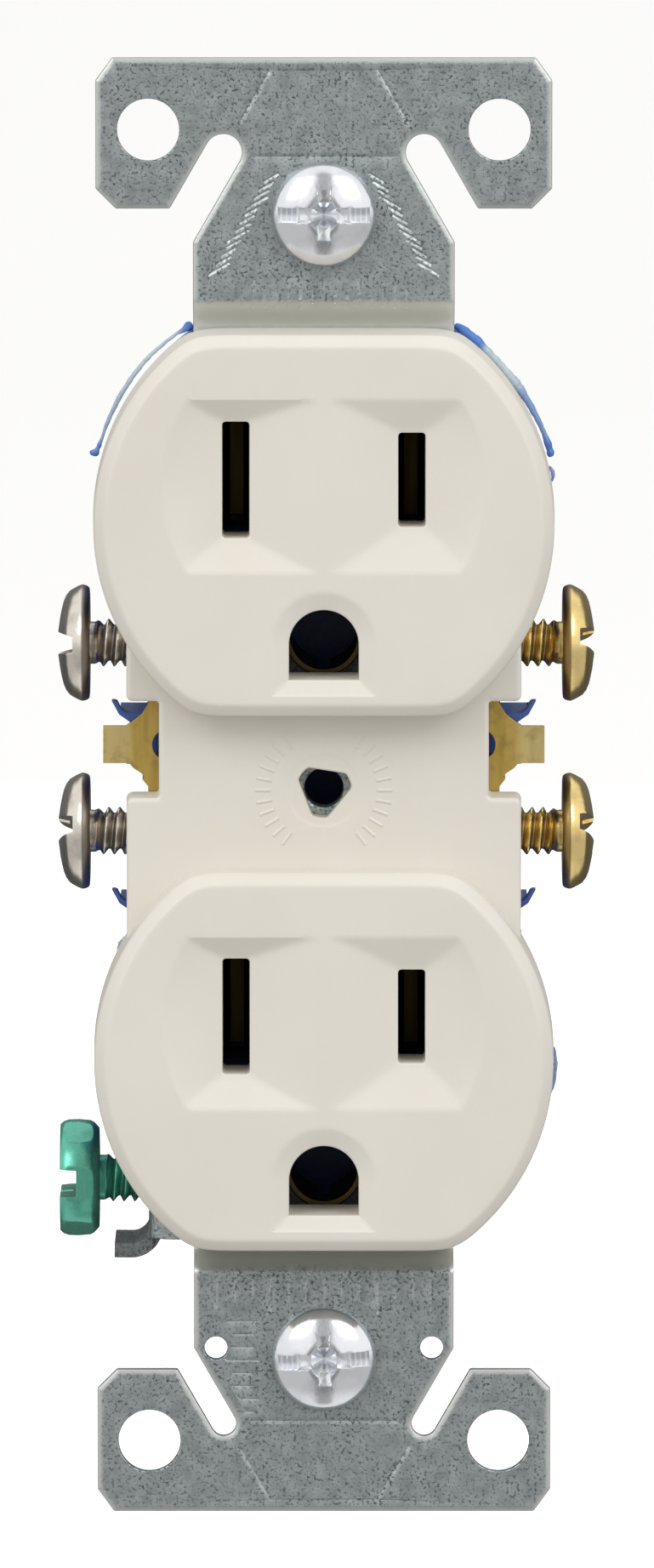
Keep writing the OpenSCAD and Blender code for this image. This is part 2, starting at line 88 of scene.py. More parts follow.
def smooth(obj, angle):
    """Shade smooth, with edges sharper than the angle left crisp."""
    obj.data.polygons.foreach_set("use_smooth", [True] * len(obj.data.polygons))
    obj.data.set_sharp_from_angle(angle=math.radians(angle))


def apply_modifiers(obj):
    """Turn an object's modifiers into mesh."""
    graph = bpy.context.evaluated_depsgraph_get()
    mesh = bpy.data.meshes.new_from_object(obj.evaluated_get(graph))
    obj.modifiers.clear()
    obj.data = mesh


def boolean(obj, other, operation):
    """Combine two closed meshes, and delete the second."""
    mod = obj.modifiers.new("boolean", "BOOLEAN")
    mod.object = other
    mod.operation = operation
    mod.solver = "EXACT"
    apply_modifiers(obj)
    bpy.data.objects.remove(other)


def cut(obj, cutter):
    boolean(obj, cutter, "DIFFERENCE")


def bevel(obj, width_mm, segments, angle):
    """Round every edge sharper than the angle."""
    mod = obj.modifiers.new("bevel", "BEVEL")
    mod.width = width_mm * MM
    mod.segments = segments
    mod.limit_method = "ANGLE"
    mod.angle_limit = math.radians(angle)
    mod.miter_outer = "MITER_ARC"
    apply_modifiers(obj)


def weighted(obj):
    """Keep flat faces flat beside rounded edges."""
    mod = obj.modifiers.new("normals", "WEIGHTED_NORMAL")
    mod.keep_sharp = True


def stand_in(obj, node):
    """Show a finished piece in a CAD node's place, on that node's body."""
    weighted(obj)
    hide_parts(node)
    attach(obj, frame["nodes"][node]["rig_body"])
    return obj


def ring(bm, points):
    return [bm.verts.new(p) for p in points]


def bridge(bm, a, b):
    """Quads between two closed rings of the same length."""
    n = len(a)
    for i in range(n):
        quad = [a[i], a[(i + 1) % n], b[(i + 1) % n], b[i]]
        if len(set(quad)) == 4:
            bm.faces.new(quad)


def skin(bm, rings):
    """Quads from each ring to the next."""
    for a, b in zip(rings, rings[1:]):
        bridge(bm, a, b)


def enclose(bm, rings):
    """A skin over the rings, closed at both ends."""
    skin(bm, rings)
    bm.faces.new(rings[0])
    bm.faces.new(rings[-1])


def extruded(name, outline, place, low, high):
    """A closed solid: an outline of (u, v) pairs, placed at two values of w."""
    bm = bmesh.new()
    enclose(bm, [ring(bm, [place(u, v, w) for u, v in outline]) for w in (low, high)])
    return new_object(name, bm)


def fill(bm, outer, holes, height, points, inside):
    """Triangulate between closed rings of verts in X and Z, with extra points at a height.

    A face is kept where inside says so. Slivers, which would leave open edges, are left out.
    """
    rings = [outer] + list(holes)
    verts = [v for r in rings for v in r]
    coords = [Vector((v.co.x, v.co.z)) for v in verts]
    edges = []
    start = 0
    for r in rings:
        n = len(r)
        edges += [(start + i, start + (i + 1) % n) for i in range(n)]
        start += n
    coords += [Vector(p) for p in points]
    out, _, faces, orig, _, _ = delaunay_2d_cdt(coords, edges, [], 0, 1e-5)
    made = []
    for co, source in zip(out, orig):
        known = [s for s in source if s < len(verts)]
        if known:
            made.append(verts[known[0]])
        else:
            made.append(bm.verts.new((co.x, height(co.x, co.y), co.y)))
    for f in faces:
        x = sum(out[i].x for i in f) / len(f)
        z = sum(out[i].y for i in f) / len(f)
        a, b, c = (out[i] for i in f)
        area = abs((b - a).cross(c - a)) / 2
        sliver = area < SLIVER * max((b - a).length, (c - b).length, (a - c).length) ** 2
        corner = [made[i] for i in f]
        if not sliver and len(set(corner)) == 3 and inside(x, z):
            bm.faces.new(corner)


def in_polygon(x, z, loop):
    """Whether a point lies inside a closed loop of (x, z) pairs."""
    hit = False
    j = len(loop) - 1
    for i in range(len(loop)):
        xi, zi = loop[i]
        xj, zj = loop[j]
        if (zi > z) != (zj > z) and x < (xj - xi) * (z - zi) / (zj - zi) + xi:
            hit = not hit
        j = i
    return hit


def between(outer, holes):
    """A test for points that lie inside one loop and outside others."""
    return lambda x, z: in_polygon(x, z, outer) and not any(in_polygon(x, z, h) for h in holes)


def circle(x, z, r, steps=48):
    return [(x + r * math.cos(TAU * i / steps), z + r * math.sin(TAU * i / steps))
            for i in range(steps)]


def grid(x0, x1, z0, z1, step):
    nx = round((x1 - x0) / step)
    nz = round((z1 - z0) / step)
    return [(x0 + (x1 - x0) * i / nx, z0 + (z1 - z0) * j / nz)
            for i in range(nx + 1) for j in range(nz + 1)]


def rounded(corners, radius, inset=0.0, steps=5):
    """A counter-clockwise polygon with rounded corners, moved inwards by inset."""
    n = len(corners)
    radii = radius if isinstance(radius, (list, tuple)) else [radius] * n
    pts = [Vector(c) for c in corners]
    normal = []
    for i in range(n):
        d = (pts[(i + 1) % n] - pts[i]).normalized()
        normal.append(Vector((-d.y, d.x)))
    loop = []
    for i in range(n):
        before, after = normal[i - 1], normal[i]
        turn = before.x * after.y - before.y * after.x
        bisect = (before + after).normalized()
        scale = 1 / max(0.2, bisect.dot(after))
        convex = turn > 0
        r = max(0.02, radii[i] - inset if convex else radii[i] + inset)
        centre_in = inset + r if convex else inset - r
        centre = pts[i] + bisect * scale * centre_in
        a0 = math.atan2(before.y, before.x) + (math.pi if convex else 0)
        a1 = math.atan2(after.y, after.x) + (math.pi if convex else 0)
        sweep = (a1 - a0 + math.pi) % TAU - math.pi
        for k in range(steps + 1):
            a = a0 + sweep * k / steps
            loop.append((centre.x + r * math.cos(a), centre.y + r * math.sin(a)))
    return loop


def smooth_min(values, k):
    """The least of several values, blended over about k."""
    least = min(values)
    return least - k * math.log(sum(math.exp(-(v - least) / k) for v in values))


# ---- the cover

FACE_R = 16.75
FACE_HALF = 13.9  # half the height across the flats
FACE_Z = 19.45  # centre of the upper face
FACE_Y = -5.6
PLATE_Y = -1.8
PART_Y = 2.6  # where the cover meets the rear body
BACK_Y = 20.0  # back of the rear body
COVER_BACK_Y = 1.2
PLATE_X = 14.35
WAIST_X = 12.0
WAIST_Z = (-0.5, 6.4)
SLOT_X = 6.35
SLOT_W = 1.96
SLOT_V = 3.3  # height of the slots over the face's centre
NEUTRAL_H = 8.38
HOT_H = 6.78
ARCH_R = 2.52
ARCH_V = -8.6  # centre of the ground hole's round top
RECESS_TOP = 9.17
RECESS_LOW = -3.41
RECESS_R = 11.7  # radius of the recess's curved ends
RECESS_DEPTH = 1.15
# A face's edge: inset, and how far it falls back.
EDGE = [(0.12, 1.05), (0.15, 0.9), (0.22, 0.76), (0.36, 0.6), (0.6, 0.34), (0.8, 0.14),
        (0.92, 0.045), (1.04, 0.008), (1.2, 0.0), (1.6, 0.0)]
HOLE_LIP = [(0.11, 0.0), (0.035, 0.03), (0.0, 0.11)]  # a hole's edge: growth, and how far back
SCOOP_W = 1.3  # width of the scooped surround of the ground hole
SCOOP_DEPTH = 0.55
RING_STEPS = 288
TICK_R = (3.9, 4.9)  # reach of the strokes round the wall-plate screw hole


def face_loop(inset):
    """A face's outline: a circle cut by two flats, with the corners between them blended."""
    power = 44
    loop = []
    for i in range(RING_STEPS):
        a = TAU * i / RING_STEPS
        flat = (FACE_HALF - inset) / max(1e-6, abs(math.sin(a)))
        r = ((FACE_R - inset) ** -power + flat ** -power) ** (-1 / power)
        loop.append((r * math.cos(a), r * math.sin(a)))
    return loop


def recess_depth(u, v):
    """How deep the hollow round the slots is at a point of the face."""
    middle = (RECESS_TOP + RECESS_LOW) / 2
    if not RECESS_LOW < v < RECESS_TOP:
        return 0.0
    half = NEUTRAL_H / 2 if u < 0 else HOT_H / 2
    margin = 0.12
    side = math.sqrt(RECESS_R ** 2 - (v - middle) ** 2)
    top = (RECESS_TOP - v) / (RECESS_TOP - SLOT_V - half - margin)
    low = (v - RECESS_LOW) / (SLOT_V - half - margin - RECESS_LOW)
    outer = (side - abs(u)) / (side - SLOT_X - SLOT_W / 2)
    crest = 1.1
    inner = (math.hypot(u, crest) - crest) / (math.hypot(SLOT_X - SLOT_W / 2, crest) - crest)
    depth = smooth_min([top, low, outer, inner, 1.0], 0.045)
    return RECESS_DEPTH * max(0.0, depth)


def arch_distance(u, v):
    """Distance outside the ground hole's edge."""
    w = v - ARCH_V
    if w >= 0:
        return math.hypot(u, w) - ARCH_R
    return max(abs(u) - ARCH_R, -w - ARCH_R)


def scoop_depth(u, v):
    """Depth of the arched funnel round the ground hole."""
    share = smooth_min([1 - arch_distance(u, v) / SCOOP_W, 1.0], 0.04)
    return SCOOP_DEPTH * max(0.0, share)


def face_height(u, v):
    return FACE_Y + max(recess_depth(u, v), scoop_depth(u, v))


def slot_loop(side, height, grow):
    corners = [(x + side * SLOT_X, z + SLOT_V) for x, z in box_outline(SLOT_W, height)]
    return rounded(corners, 0.25, -grow, 4)


def arch_loop(grow):
    r = ARCH_R + grow
    bottom = ARCH_V - ARCH_R - grow
    steps = 28
    loop = [(r * math.cos(math.pi * i / steps), ARCH_V + r * math.sin(math.pi * i / steps))
            for i in range(steps + 1)]
    loop += [(-r, ARCH_V + (bottom - ARCH_V) * k / 6) for k in range(1, 7)]
    loop += [(-r + 2 * r * k / 12, bottom) for k in range(1, 13)]
    loop += [(r, bottom + (ARCH_V - bottom) * k / 6) for k in range(1, 6)]
    return loop


def bottom_y(x, z):
    """Rear edge of the cover's wall, notched where the strap passes."""
    over_neck = abs(x) < 9.7 and abs(z) > 30
    over_ground_tab = x < -9.4 and -34 < z < -24.3
    return 1.3 if over_neck or over_ground_tab else PART_Y


def face_block(centre_z):
    """One face with its filleted edge, recess, slots and ground hole."""
    bm = bmesh.new()

    def lift(loop, y, back=0.0):
        return ring(bm, [(x, (y(x, z) if callable(y) else y) + back, z) for x, z in loop])

    def rear(x, z):
        return bottom_y(x, z + centre_z)

    rings = [lift(face_loop(0.0), rear)]
    rings += [lift(face_loop(inset), FACE_Y + back) for inset, back in EDGE]
    skin(bm, rings)

    holes = [
        lambda grow: slot_loop(-1, NEUTRAL_H, grow),
        lambda grow: slot_loop(1, HOT_H, grow),
        arch_loop,
    ]
    fronts, backs = [], []
    for hole in holes:
        wall = [lift(hole(grow), face_height, back) for grow, back in HOLE_LIP]
        wall.append(lift(hole(0.0), COVER_BACK_Y))
        skin(bm, wall)
        fronts.append(wall[0])
        backs.append(wall[-1])

    outer = face_loop(EDGE[-1][0])
    clear = between(outer, [h(0.2) for h in holes])
    fine = grid(-RECESS_R - 0.2, RECESS_R + 0.2, RECESS_LOW - 0.2, RECESS_TOP + 0.2, 0.22)
    fine += grid(-4.2, 4.2, ARCH_V - ARCH_R - 1.7, ARCH_V + ARCH_R + 1.6, 0.2)
    fill(bm, rings[-1], fronts, face_height, [p for p in fine if clear(*p)],
         between(outer, [h(HOLE_LIP[0][0]) for h in holes]))

    inner_loop = face_loop(1.55)
    rim = lift(face_loop(1.5), rear)
    inner = lift(inner_loop, COVER_BACK_Y)
    skin(bm, [rings[0], rim, inner])
    fill(bm, inner, backs, lambda x, z: COVER_BACK_Y, [],
         between(inner_loop, [h(0.0) for h in holes]))
    bmesh.ops.translate(bm, verts=bm.verts, vec=(0, 0, centre_z))
    return new_object("face_block", bm)


def grip_loop(grow):
    """The three-sided hole that grips the wall-plate screw."""
    inner, outer = 1.46 + grow, 2.0 + grow
    loop = []
    for i in range(72):
        a = TAU * i / 72
        sector = (a + math.pi / 3) % (TAU / 3) - math.pi / 3
        r = min(outer, inner / max(0.2, math.cos(sector)))
        turn = a + math.radians(90 - 9)
        loop.append((r * math.cos(turn), r * math.sin(turn)))
    return loop


def radial_ticks():
    """Plain raised strokes round the wall-plate screw hole."""
    ticks = []
    for middle in (0, 180):
        for k in range(-5, 6):
            a = math.radians(middle + 10.5 * k)
            ticks.append((TICK_R[0] * math.cos(a), TICK_R[0] * math.sin(a),
                          TICK_R[1] * math.cos(a), TICK_R[1] * math.sin(a), 0.3, -0.1))
    return ticks


def plate_block():
    """The plate between the faces, with its waist and the wall-plate screw hole."""
    bm = bmesh.new()
    top = 11.8
    side = [(PLATE_X, -top), (PLATE_X, WAIST_Z[0]), (WAIST_X, WAIST_Z[0]),
            (WAIST_X, WAIST_Z[1]), (PLATE_X, WAIST_Z[1]), (PLATE_X, top)]
    corners = [(-PLATE_X, -top)] + side + [(-x, z) for x, z in side[:0:-1]]
    radii = [0.5] * 12
    for i in (3, 4, 9, 10):
        radii[i] = 0.2
    wall = [(0.0, PART_Y), (0.06, PLATE_Y + 0.35)]
    for k in range(1, 6):
        a = math.pi / 2 * k / 5
        wall.append((0.06 + 0.35 * (1 - math.cos(a)), PLATE_Y + 0.35 * (1 - math.sin(a))))
    wall.append((0.6, PLATE_Y))
    rings = [ring(bm, [(x, y, z) for x, z in rounded(corners, radii, inset)]) for inset, y in wall]
    skin(bm, rings)

    ticks = radial_ticks()

    def height(x, z):
        r = math.hypot(x, z)
        dish = 0.07 * max(0.0, min(1.0, (2.75 - r) / 0.25))
        return PLATE_Y + dish + mark_height(ticks, x, z)

    dish = [p for r in (2.45, 2.55, 2.65, 2.8) for p in circle(0, 0, r, 64)]
    lip, bore = grip_loop(0.1), grip_loop(0.0)
    front = ring(bm, [(x, height(x, z), z) for x, z in lip])
    edge = ring(bm, [(x, height(x, z) + 0.1, z) for x, z in bore])
    back = ring(bm, [(x, PART_Y, z) for x, z in bore])
    skin(bm, [front, edge, back])
    inner = rounded(corners, radii, 0.9)
    spread = [p for p in grid(-13, 13, -11, 11, 1.0) if in_polygon(*p, inner)
              and not TICK_R[0] - 0.6 < math.hypot(*p) < TICK_R[1] + 0.6 and math.hypot(*p) > 3.2]
    fill(bm, rings[-1], [front], height, apart(dish + mark_points(ticks) + spread),
         between(rounded(corners, radii, 0.6), [lip]))
    fill(bm, rings[0], [back], lambda x, z: PART_Y, [],
         between(rounded(corners, radii, 0.0), [bore]))
    return new_object("plate_block", bm)


def build_cover():
    cover = plate_block()
    arch = [(x, z + FACE_Z) for x, z in arch_loop(0.3)]
    cut(cover, slab("arch", arch, PLATE_Y - 0.8, PART_Y + 1))
    for centre in (FACE_Z, -FACE_Z):
        boolean(cover, face_block(centre), "UNION")
    cover.name = "cover_moulding"
    smooth(cover, 28)
    return stand_in(cover, "front_cover")


# ---- grooves and ridges

def mark_height(marks, x, z):
    """Height change at a point from grooves, each (x0, z0, x1, z1, width, depth)."""
    total = 0.0
    for x0, z0, x1, z1, width, depth in marks:
        dx, dz = x1 - x0, z1 - z0
        t = max(0.0, min(1.0, ((x - x0) * dx + (z - z0) * dz) / (dx * dx + dz * dz)))
        gap = math.hypot(x - x0 - t * dx, z - z0 - t * dz)
        if gap < width / 2:
            total += depth * (1 - gap / (width / 2))
    return total


def mark_points(marks):
    """Points along each groove's bottom and banks, which make its edges crisp."""
    points = []
    for x0, z0, x1, z1, width, _ in marks:
        length = math.hypot(x1 - x0, z1 - z0)
        dx, dz = (x1 - x0) / length, (z1 - z0) / length
        count = max(3, round(length / 0.3))
        for offset in (-width * 0.62, -width / 2, 0, width / 2, width * 0.62):
            reach = 0 if offset == 0 else width * 0.3
            for k in range(count + 1):
                s = -reach + (length + 2 * reach) * k / count
                points.append((x0 + dx * s - dz * offset, z0 + dz * s + dx * offset))
    return points


def apart(points, gap=0.03):
    """The points with any that nearly repeat another left out."""
    seen = set()
    kept = []
    for x, z in points:
        key = (round(x / gap), round(z / gap))
        if key not in seen:
            seen.add(key)
            kept.append((x, z))
    return kept


# ---- mounting strap

STRAP_T = 1.0
JOGGLE = 1.4  # how far the middle is set back
JOGGLE_Z = 35.5  # height of the joggle's outer end
JOGGLE_RUN = 2.0
NECK_X = 9.46
SPINE_X = 4.3
EAR_X = 16.5
STRAP_TOP = 52.95
EAR_SLOT_TILT = math.radians(60)
SCREW_Z = 41.67
HOLE_X, HOLE_Z = 12.7, 47.75
PIN_Z = (FACE_Z + ARCH_V, -FACE_Z + ARCH_V)
# The collar drawn for the wall-plate screw: radius, and Y.
COLLAR = [(2.75, 1.4), (2.4, 1.25), (2.28, 0.9), (2.25, 0.45), (2.1, 0.25), (1.9, 0.2),
          (1.6, 0.22), (1.45, 0.32), (1.4, 0.5), (1.4, 2.3), (1.5, 2.4)]
# A punched hole's wall: growth, and depth behind the strap's front.
HOLE_WALL = [(0.08, 0.0), (0.03, 0.03), (0.0, 0.1), (0.0, STRAP_T - 0.15), (0.08, STRAP_T)]


def joggle(z):
    """Y of the strap's front face: forward at the ears, stepped back behind the cover."""
    t = max(0.0, min(1.0, (JOGGLE_Z - abs(z)) / JOGGLE_RUN))
    return JOGGLE * t * t * (3 - 2 * t)


def end_corners(ear_z, slot, r):
    """Right-hand corners of one end of the strap, from the neck outwards, with their radii."""
    along = Vector((math.cos(EAR_SLOT_TILT), -math.sin(EAR_SLOT_TILT)))
    inward = Vector((along.y, -along.x))
    inner = Vector(slot) + inward * r
    outer = Vector(slot) - inward * r
    foot = inner + along * ((NECK_X - inner.x) / along.x)
    corner = outer + along * ((ear_z - outer.y) / along.y)
    return [
        ((NECK_X, foot.y), 0.3), (tuple(inner - along * r), r), (tuple(outer - along * r), r),
        (tuple(corner), 0.25), ((EAR_X - 1.45, ear_z), 0.25), ((EAR_X, ear_z + 1.45), 0.25),
        ((EAR_X, STRAP_TOP - 1.65), 0.25), ((EAR_X - 1.2, STRAP_TOP), 0.25)
    ]


def strap_loop(inset):
    upper = end_corners(42.05, (7.26, 46.1), 1.34)
    lower = [((x, -z), r) for (x, z), r in end_corners(42.5, (7.3, 46.5), 0.9)]
    spine = [((NECK_X, -24.4), 0.3), ((SPINE_X, -21.6), 0.3), ((SPINE_X, 27.8), 0.3),
             ((NECK_X, 30.5), 0.3)]
    right = lower[::-1] + spine + upper
    both = right + [((-x, z), r) for (x, z), r in right[::-1]]
    loop = rounded([c for c, _ in both], [r for _, r in both], inset, 8)
    stops = [up * (33.42 + 0.11 * k) for up in (-1, 1) for k in range(21)]
    dense = []
    for a, b in zip(loop, loop[1:] + loop[:1]):
        dense.append(a)
        rise = b[1] - a[1]
        passed = [z for z in stops if min(a[1], b[1]) < z < max(a[1], b[1])]
        for z in sorted(passed, reverse=rise < 0):
            dense.append((a[0] + (b[0] - a[0]) * (z - a[1]) / rise, z))
    return dense


def strap_holes():
    """Functions that give each hole's loop, grown by some amount."""
    def slot(z):
        return lambda g: rounded([(x, z + dz) for x, dz in box_outline(7.2, 4.2)], 2.1, -g, 12)

    holes = [slot(SCREW_Z), slot(-SCREW_Z)]
    round_holes = [(x, z, 2.25) for x in (-HOLE_X, HOLE_X) for z in (-HOLE_Z, HOLE_Z)]
    round_holes += [(x, -40.95, 0.83) for x in (-7.85, 7.85)]
    round_holes += [(0, z, 2.75) for z in PIN_Z]
    for x, z, r in round_holes:
        holes.append(lambda g, x=x, z=z, r=r: circle(x, z, r + g))
    return holes


def strap_marks():
    """Score lines, and plain gauge strokes stamped in the necks."""
    marks = []
    for up, score in ((1, 45.8), (-1, 46.3)):
        end = 5.75 if up > 0 else 6.2
        marks.append((-end, up * score, end, up * score, 0.45, 0.08))
        for side in (-1, 1):
            marks.append((side * 6.55, up * 47.5, side * 3.75, up * 52.3, 0.5, 0.09))
    for side in (-1, 1):
        for k in range(12):
            cx, cz = side * (7.6 - 0.345 * k), 37.7 + 0.6 * k
            half = 0.85 if k % 4 == 0 else 0.6
            marks.append((cx - half * 0.87, cz + side * half * 0.5,
                          cx + half * 0.87, cz - side * half * 0.5, 0.26, 0.08))
    for k in range(-7, 8):
        tall = 2.1 if k % 3 == 0 else 1.3
        marks.append((k * 0.85, 34.9, k * 0.85, 34.9 + tall, 0.26, 0.08))
    for k in range(13):
        x = -7.8 + k * 1.3
        marks.append((x, -35.9, x, -37.6 if k % 3 else -38.3, 0.26, 0.07))
    for k in range(8):
        half = 1.1 if k % 3 == 0 else 0.75
        marks.append((-5.9 - half, -39.0 - k * 0.95, -5.9 + half, -39.0 - k * 0.95, 0.26, 0.07))
    return marks


def strap_sheet():
    """The flat stamping with its joggles, holes, coined edges and drawn collar."""
    bm = bmesh.new()
    marks = strap_marks()
    near = {z: [m for m in marks if min(m[1], m[3]) - 1.2 < z < max(m[1], m[3]) + 1.2]
            for z in range(-54, 55)}

    def front(x, z):
        return joggle(z) + mark_height(near[round(z)], x, z)

    def lift(loop, drop):
        return ring(bm, [(x, joggle(z) + drop, z) for x, z in loop])

    profile = [(0.0, STRAP_T - 0.12), (0.0, 0.22), (0.04, 0.12), (0.3, 0.03), (0.46, 0.0)]
    rings = [lift(strap_loop(inset), y) for inset, y in profile]
    back_edge = strap_loop(0.1)
    back = lift(back_edge, STRAP_T)
    skin(bm, [back] + rings)
    holes = strap_holes()
    walls = [[lift(hole(grow), y) for grow, y in HOLE_WALL] for hole in holes]
    walls.append([ring(bm, [(x, y, z) for x, z in circle(0, 0, r)]) for r, y in COLLAR])
    for wall in walls:
        skin(bm, wall)

    clear = between(strap_loop(0.85), [h(0.35) for h in holes] + [circle(0, 0, 3.0)])
    points = grid(-EAR_X, EAR_X, -STRAP_TOP, STRAP_TOP, 1.6)
    points += [(x * 0.9, up * (33.4 + 0.11 * k))
               for up in (-1, 1) for x in range(-9, 10) for k in range(21)]
    hole_edges = [h(HOLE_WALL[0][0]) for h in holes]
    fine = [p for p in apart(mark_points(marks) + points, 0.09) if clear(*p)]
    fill(bm, rings[-1], [w[0] for w in walls], front, fine,
         between(strap_loop(profile[-1][0]), hole_edges + [circle(0, 0, COLLAR[0][0])]))
    coarse = [p for p in apart(points, 0.09) if clear(*p)]
    fill(bm, back, [w[-1] for w in walls], lambda x, z: joggle(z) + STRAP_T, coarse,
         between(back_edge, hole_edges + [circle(0, 0, COLLAR[-1][0])]))
    return new_object("strap_stamping", bm)


def swept_sheet(name, path, thickness, place, low, high):
    """A sheet that follows a flat path, drawn out between two coordinates."""
    left, right = [], []
    for i, p in enumerate(path):
        a = Vector(path[max(0, i - 1)])
        b = Vector(path[min(len(path) - 1, i + 1)])
        d = (b - a).normalized()
        side = Vector((-d.y, d.x)) * thickness / 2
        left.append(Vector(p) + side)
        right.append(Vector(p) - side)
    obj = extruded(name, left + right[::-1], place, low, high)
    bevel(obj, 0.16, 3, 40)
    return obj


def arc(cx, cy, r, a0, a1, steps=8):
    return [(cx + r * math.cos(math.radians(a0 + (a1 - a0) * k / steps)),
             cy + r * math.sin(math.radians(a0 + (a1 - a0) * k / steps)))
            for k in range(steps + 1)]


def ground_tab():
    """The bent ear that takes the ground screw, and the curled lip that holds its wire.

    The lip stands a little proud of the ear, because the union fails on faces that nearly meet.
    """
    _, screw_y, screw_z = GROUND_AT
    bend = [(-8.3, 1.9), (-10.2, 1.9)] + arc(-10.85, 3.3, 1.4, -90, -180) + [(-12.25, 5.4)]
    root = swept_sheet("ground_tab", bend, 1.0, lambda u, v, w: (u, v, w), -33.2, -24.6)
    curl = [(-12.26, -24.75), (-12.26, -32.55)] + arc(-14.06, -32.55, 1.8, 0, -94)
    curl.append((-15.3, -34.33))
    lip = swept_sheet("lip", curl, 1.06, lambda u, v, w: (u, w, v), 4.3, 12.2)
    bore = extruded("bore", circle(screw_y, screw_z, 1.82), lambda u, v, w: (w, u, v), -14.0, -10.5)
    boolean(root, lip, "UNION")
    cut(root, bore)
    return root


def build_strap():
    strap = strap_sheet()
    boolean(strap, ground_tab(), "UNION")
    smooth(strap, 24)
    return stand_in(strap, "mounting_strap")


# ---- screws

PITCH = 25.4 / 32
THREAD_DEPTH = 0.42
CREST_R = 1.74
SIDE_LENGTH = 7.7
MOUNTING_LENGTH = 25.3
RIM_R = 2.9  # where a head's painted dark rim begins, a painted shade
RIM_FADE = 0.12
TERMINAL_Y = 8.0
TERMINAL_Z = {"upper": 9.9, "lower": -3.9}
HOT_SEAT_X = 17.4  # undersides of the heads
NEUTRAL_SEAT_X = 17.05
GROUND_AT = (-16.4, TERMINAL_Y, -29.4)
PUSH_IN_X = 10.95
PUSH_IN_Z = (13.05, -0.75)  # heights of the wire holes in the back


def shank(length, major, neck, neck_length):
    """A threaded rod that hangs below Z = 0 and starts with a plain neck."""
    bm = bmesh.new()
    around, per_pitch = 40, 8
    step = PITCH / per_pitch
    rows = round(length / step) + 2 * per_pitch
    crest = [0.0, 0.02, 0.5, 0.98, 1.0, 0.72, 0.4, 0.12]

    def radius(s, j):
        fade_in = max(0.0, min(1.0, (s - neck_length) / (0.9 * PITCH)))
        fade_out = max(0.0, min(1.0, (length - s) / (1.6 * PITCH)))
        root = major - THREAD_DEPTH
        thread = root + THREAD_DEPTH * crest[j % per_pitch]
        body = neck + (thread - neck) * fade_in
        return body - (1 - fade_out) * (body - root * 0.86)

    made = []
    for j in range(rows):
        row = []
        for i in range(around):
            s = (j - per_pitch) * step + PITCH * i / around
            s = max(0.0, min(length, s))
            a = TAU * i / around
            r = radius(s, j)
            row.append(bm.verts.new((r * math.cos(a), r * math.sin(a), -s)))
        made.append(row)
    for j in range(rows - 1):
        for i in range(around):
            wrap = i == around - 1
            if wrap and j + 1 + per_pitch >= rows:
                continue
            right = [made[j + per_pitch * wrap][(i + 1) % around],
                     made[j + 1 + per_pitch * wrap][(i + 1) % around]]
            bm.faces.new([made[j][i], right[0], right[1], made[j + 1][i]])
    bmesh.ops.remove_doubles(bm, verts=bm.verts, dist=1e-4)
    bmesh.ops.dissolve_degenerate(bm, edges=bm.edges, dist=1e-4)
    bmesh.ops.holes_fill(bm, edges=bm.edges)
    return new_object("shank", bm)


def lathe(name, profile, steps=96):
    """A solid turned about Z from (radius, z) pairs, closed at both ends."""
    bm = bmesh.new()
    enclose(bm, [ring(bm, [(x, y, z) for x, y in circle(0, 0, r, steps)]) for r, z in profile])
    return new_object(name, bm)


def prism(name, outline, low, high, taper=1.0):
    """An (x, y) outline drawn up in Z, and scaled by the taper at its low end."""
    def place(x, y, z):
        scale = taper if z == low else 1.0
        return (x * scale, y * scale, z)

    return extruded(name, outline, place, low, high)


def slab(name, outline, front, back):
    """An (x, z) outline drawn out along Y."""
    return extruded(name, outline, lambda x, z, y: (x, y, z), front, back)


def box_outline(width, height):
    return [(-width / 2, -height / 2), (width / 2, -height / 2),
            (width / 2, height / 2), (-width / 2, height / 2)]


def cross_recess(head, top, depth, reach, width):
    """Cut a cross-shaped driver recess with blended inner corners and a conical middle."""
    for outline in (box_outline(2 * reach, width), box_outline(width, 2 * reach)):
        cut(head, prism("arm", outline, top - depth * 0.62, top + 0.6, 0.86))
    half = reach * 0.88
    diamond = [(half, 0), (0, half), (-half, 0), (0, -half)]
    cut(head, prism("blend", diamond, top - depth * 0.56, top + 0.6, 0.78))
    point = [(0.02, top - depth - 0.2), (1.05, top - depth * 0.56), (1.05, top)]
    cut(head, lathe("point", point, 32))


def serrated_slot(head, top, depth, width, reach):
    """Cut a straight slot whose floor is cut in small ridges near its ends."""
    ridges, start, end = 5, 1.75, 3.6
    low = top - depth
    teeth = []
    for k in range(2 * ridges + 1):
        teeth.append((start + (end - start) * k / (2 * ridges), low + 0.24 * (k % 2)))
    right = teeth + [(reach, low), (reach, top + 1)]
    floor = [(-x, z) for x, z in right[::-1]] + right
    cut(head, slab("slot", floor, -width / 2, width / 2))


def joined(name, objects):
    """One object made of several closed shells."""
    bm = bmesh.new()
    for obj in objects:
        bm.from_mesh(obj.data)
        bpy.data.objects.remove(obj)
    return link_mesh(name, bm)


def valley_and_rim_shade(obj, at, axis, rim):
    """Store painted shade for each vertex, 0 to 1: on the shank, how deep it lies below the
    thread's crest; on the head, a dark band over the rim, painted shade for the dark reflection at
    its edge.
    """
    line = Vector(axis)
    values = []
    for v in obj.data.vertices:
        off = v.co / MM - Vector(at)
        along = off.dot(line)
        r = (off - line * along).length
        if along < -0.05:
            values.append(max(0.0, min(1.0, (CREST_R - r) / THREAD_DEPTH)))
        else:
            # Painted shade: a dark band on the head's outer rim, from its underside up to the rim
            # height.
            rim_shade = max(0.0, min(1.0, (rim - along) / RIM_FADE))
            values.append(rim_shade if r > RIM_R else 0.0)
    store(obj, "valley_and_rim_shade", values)


def store(obj, name, values):
    attribute = obj.data.attributes.new(name, "FLOAT", "POINT")
    attribute.data.foreach_set("value", values)


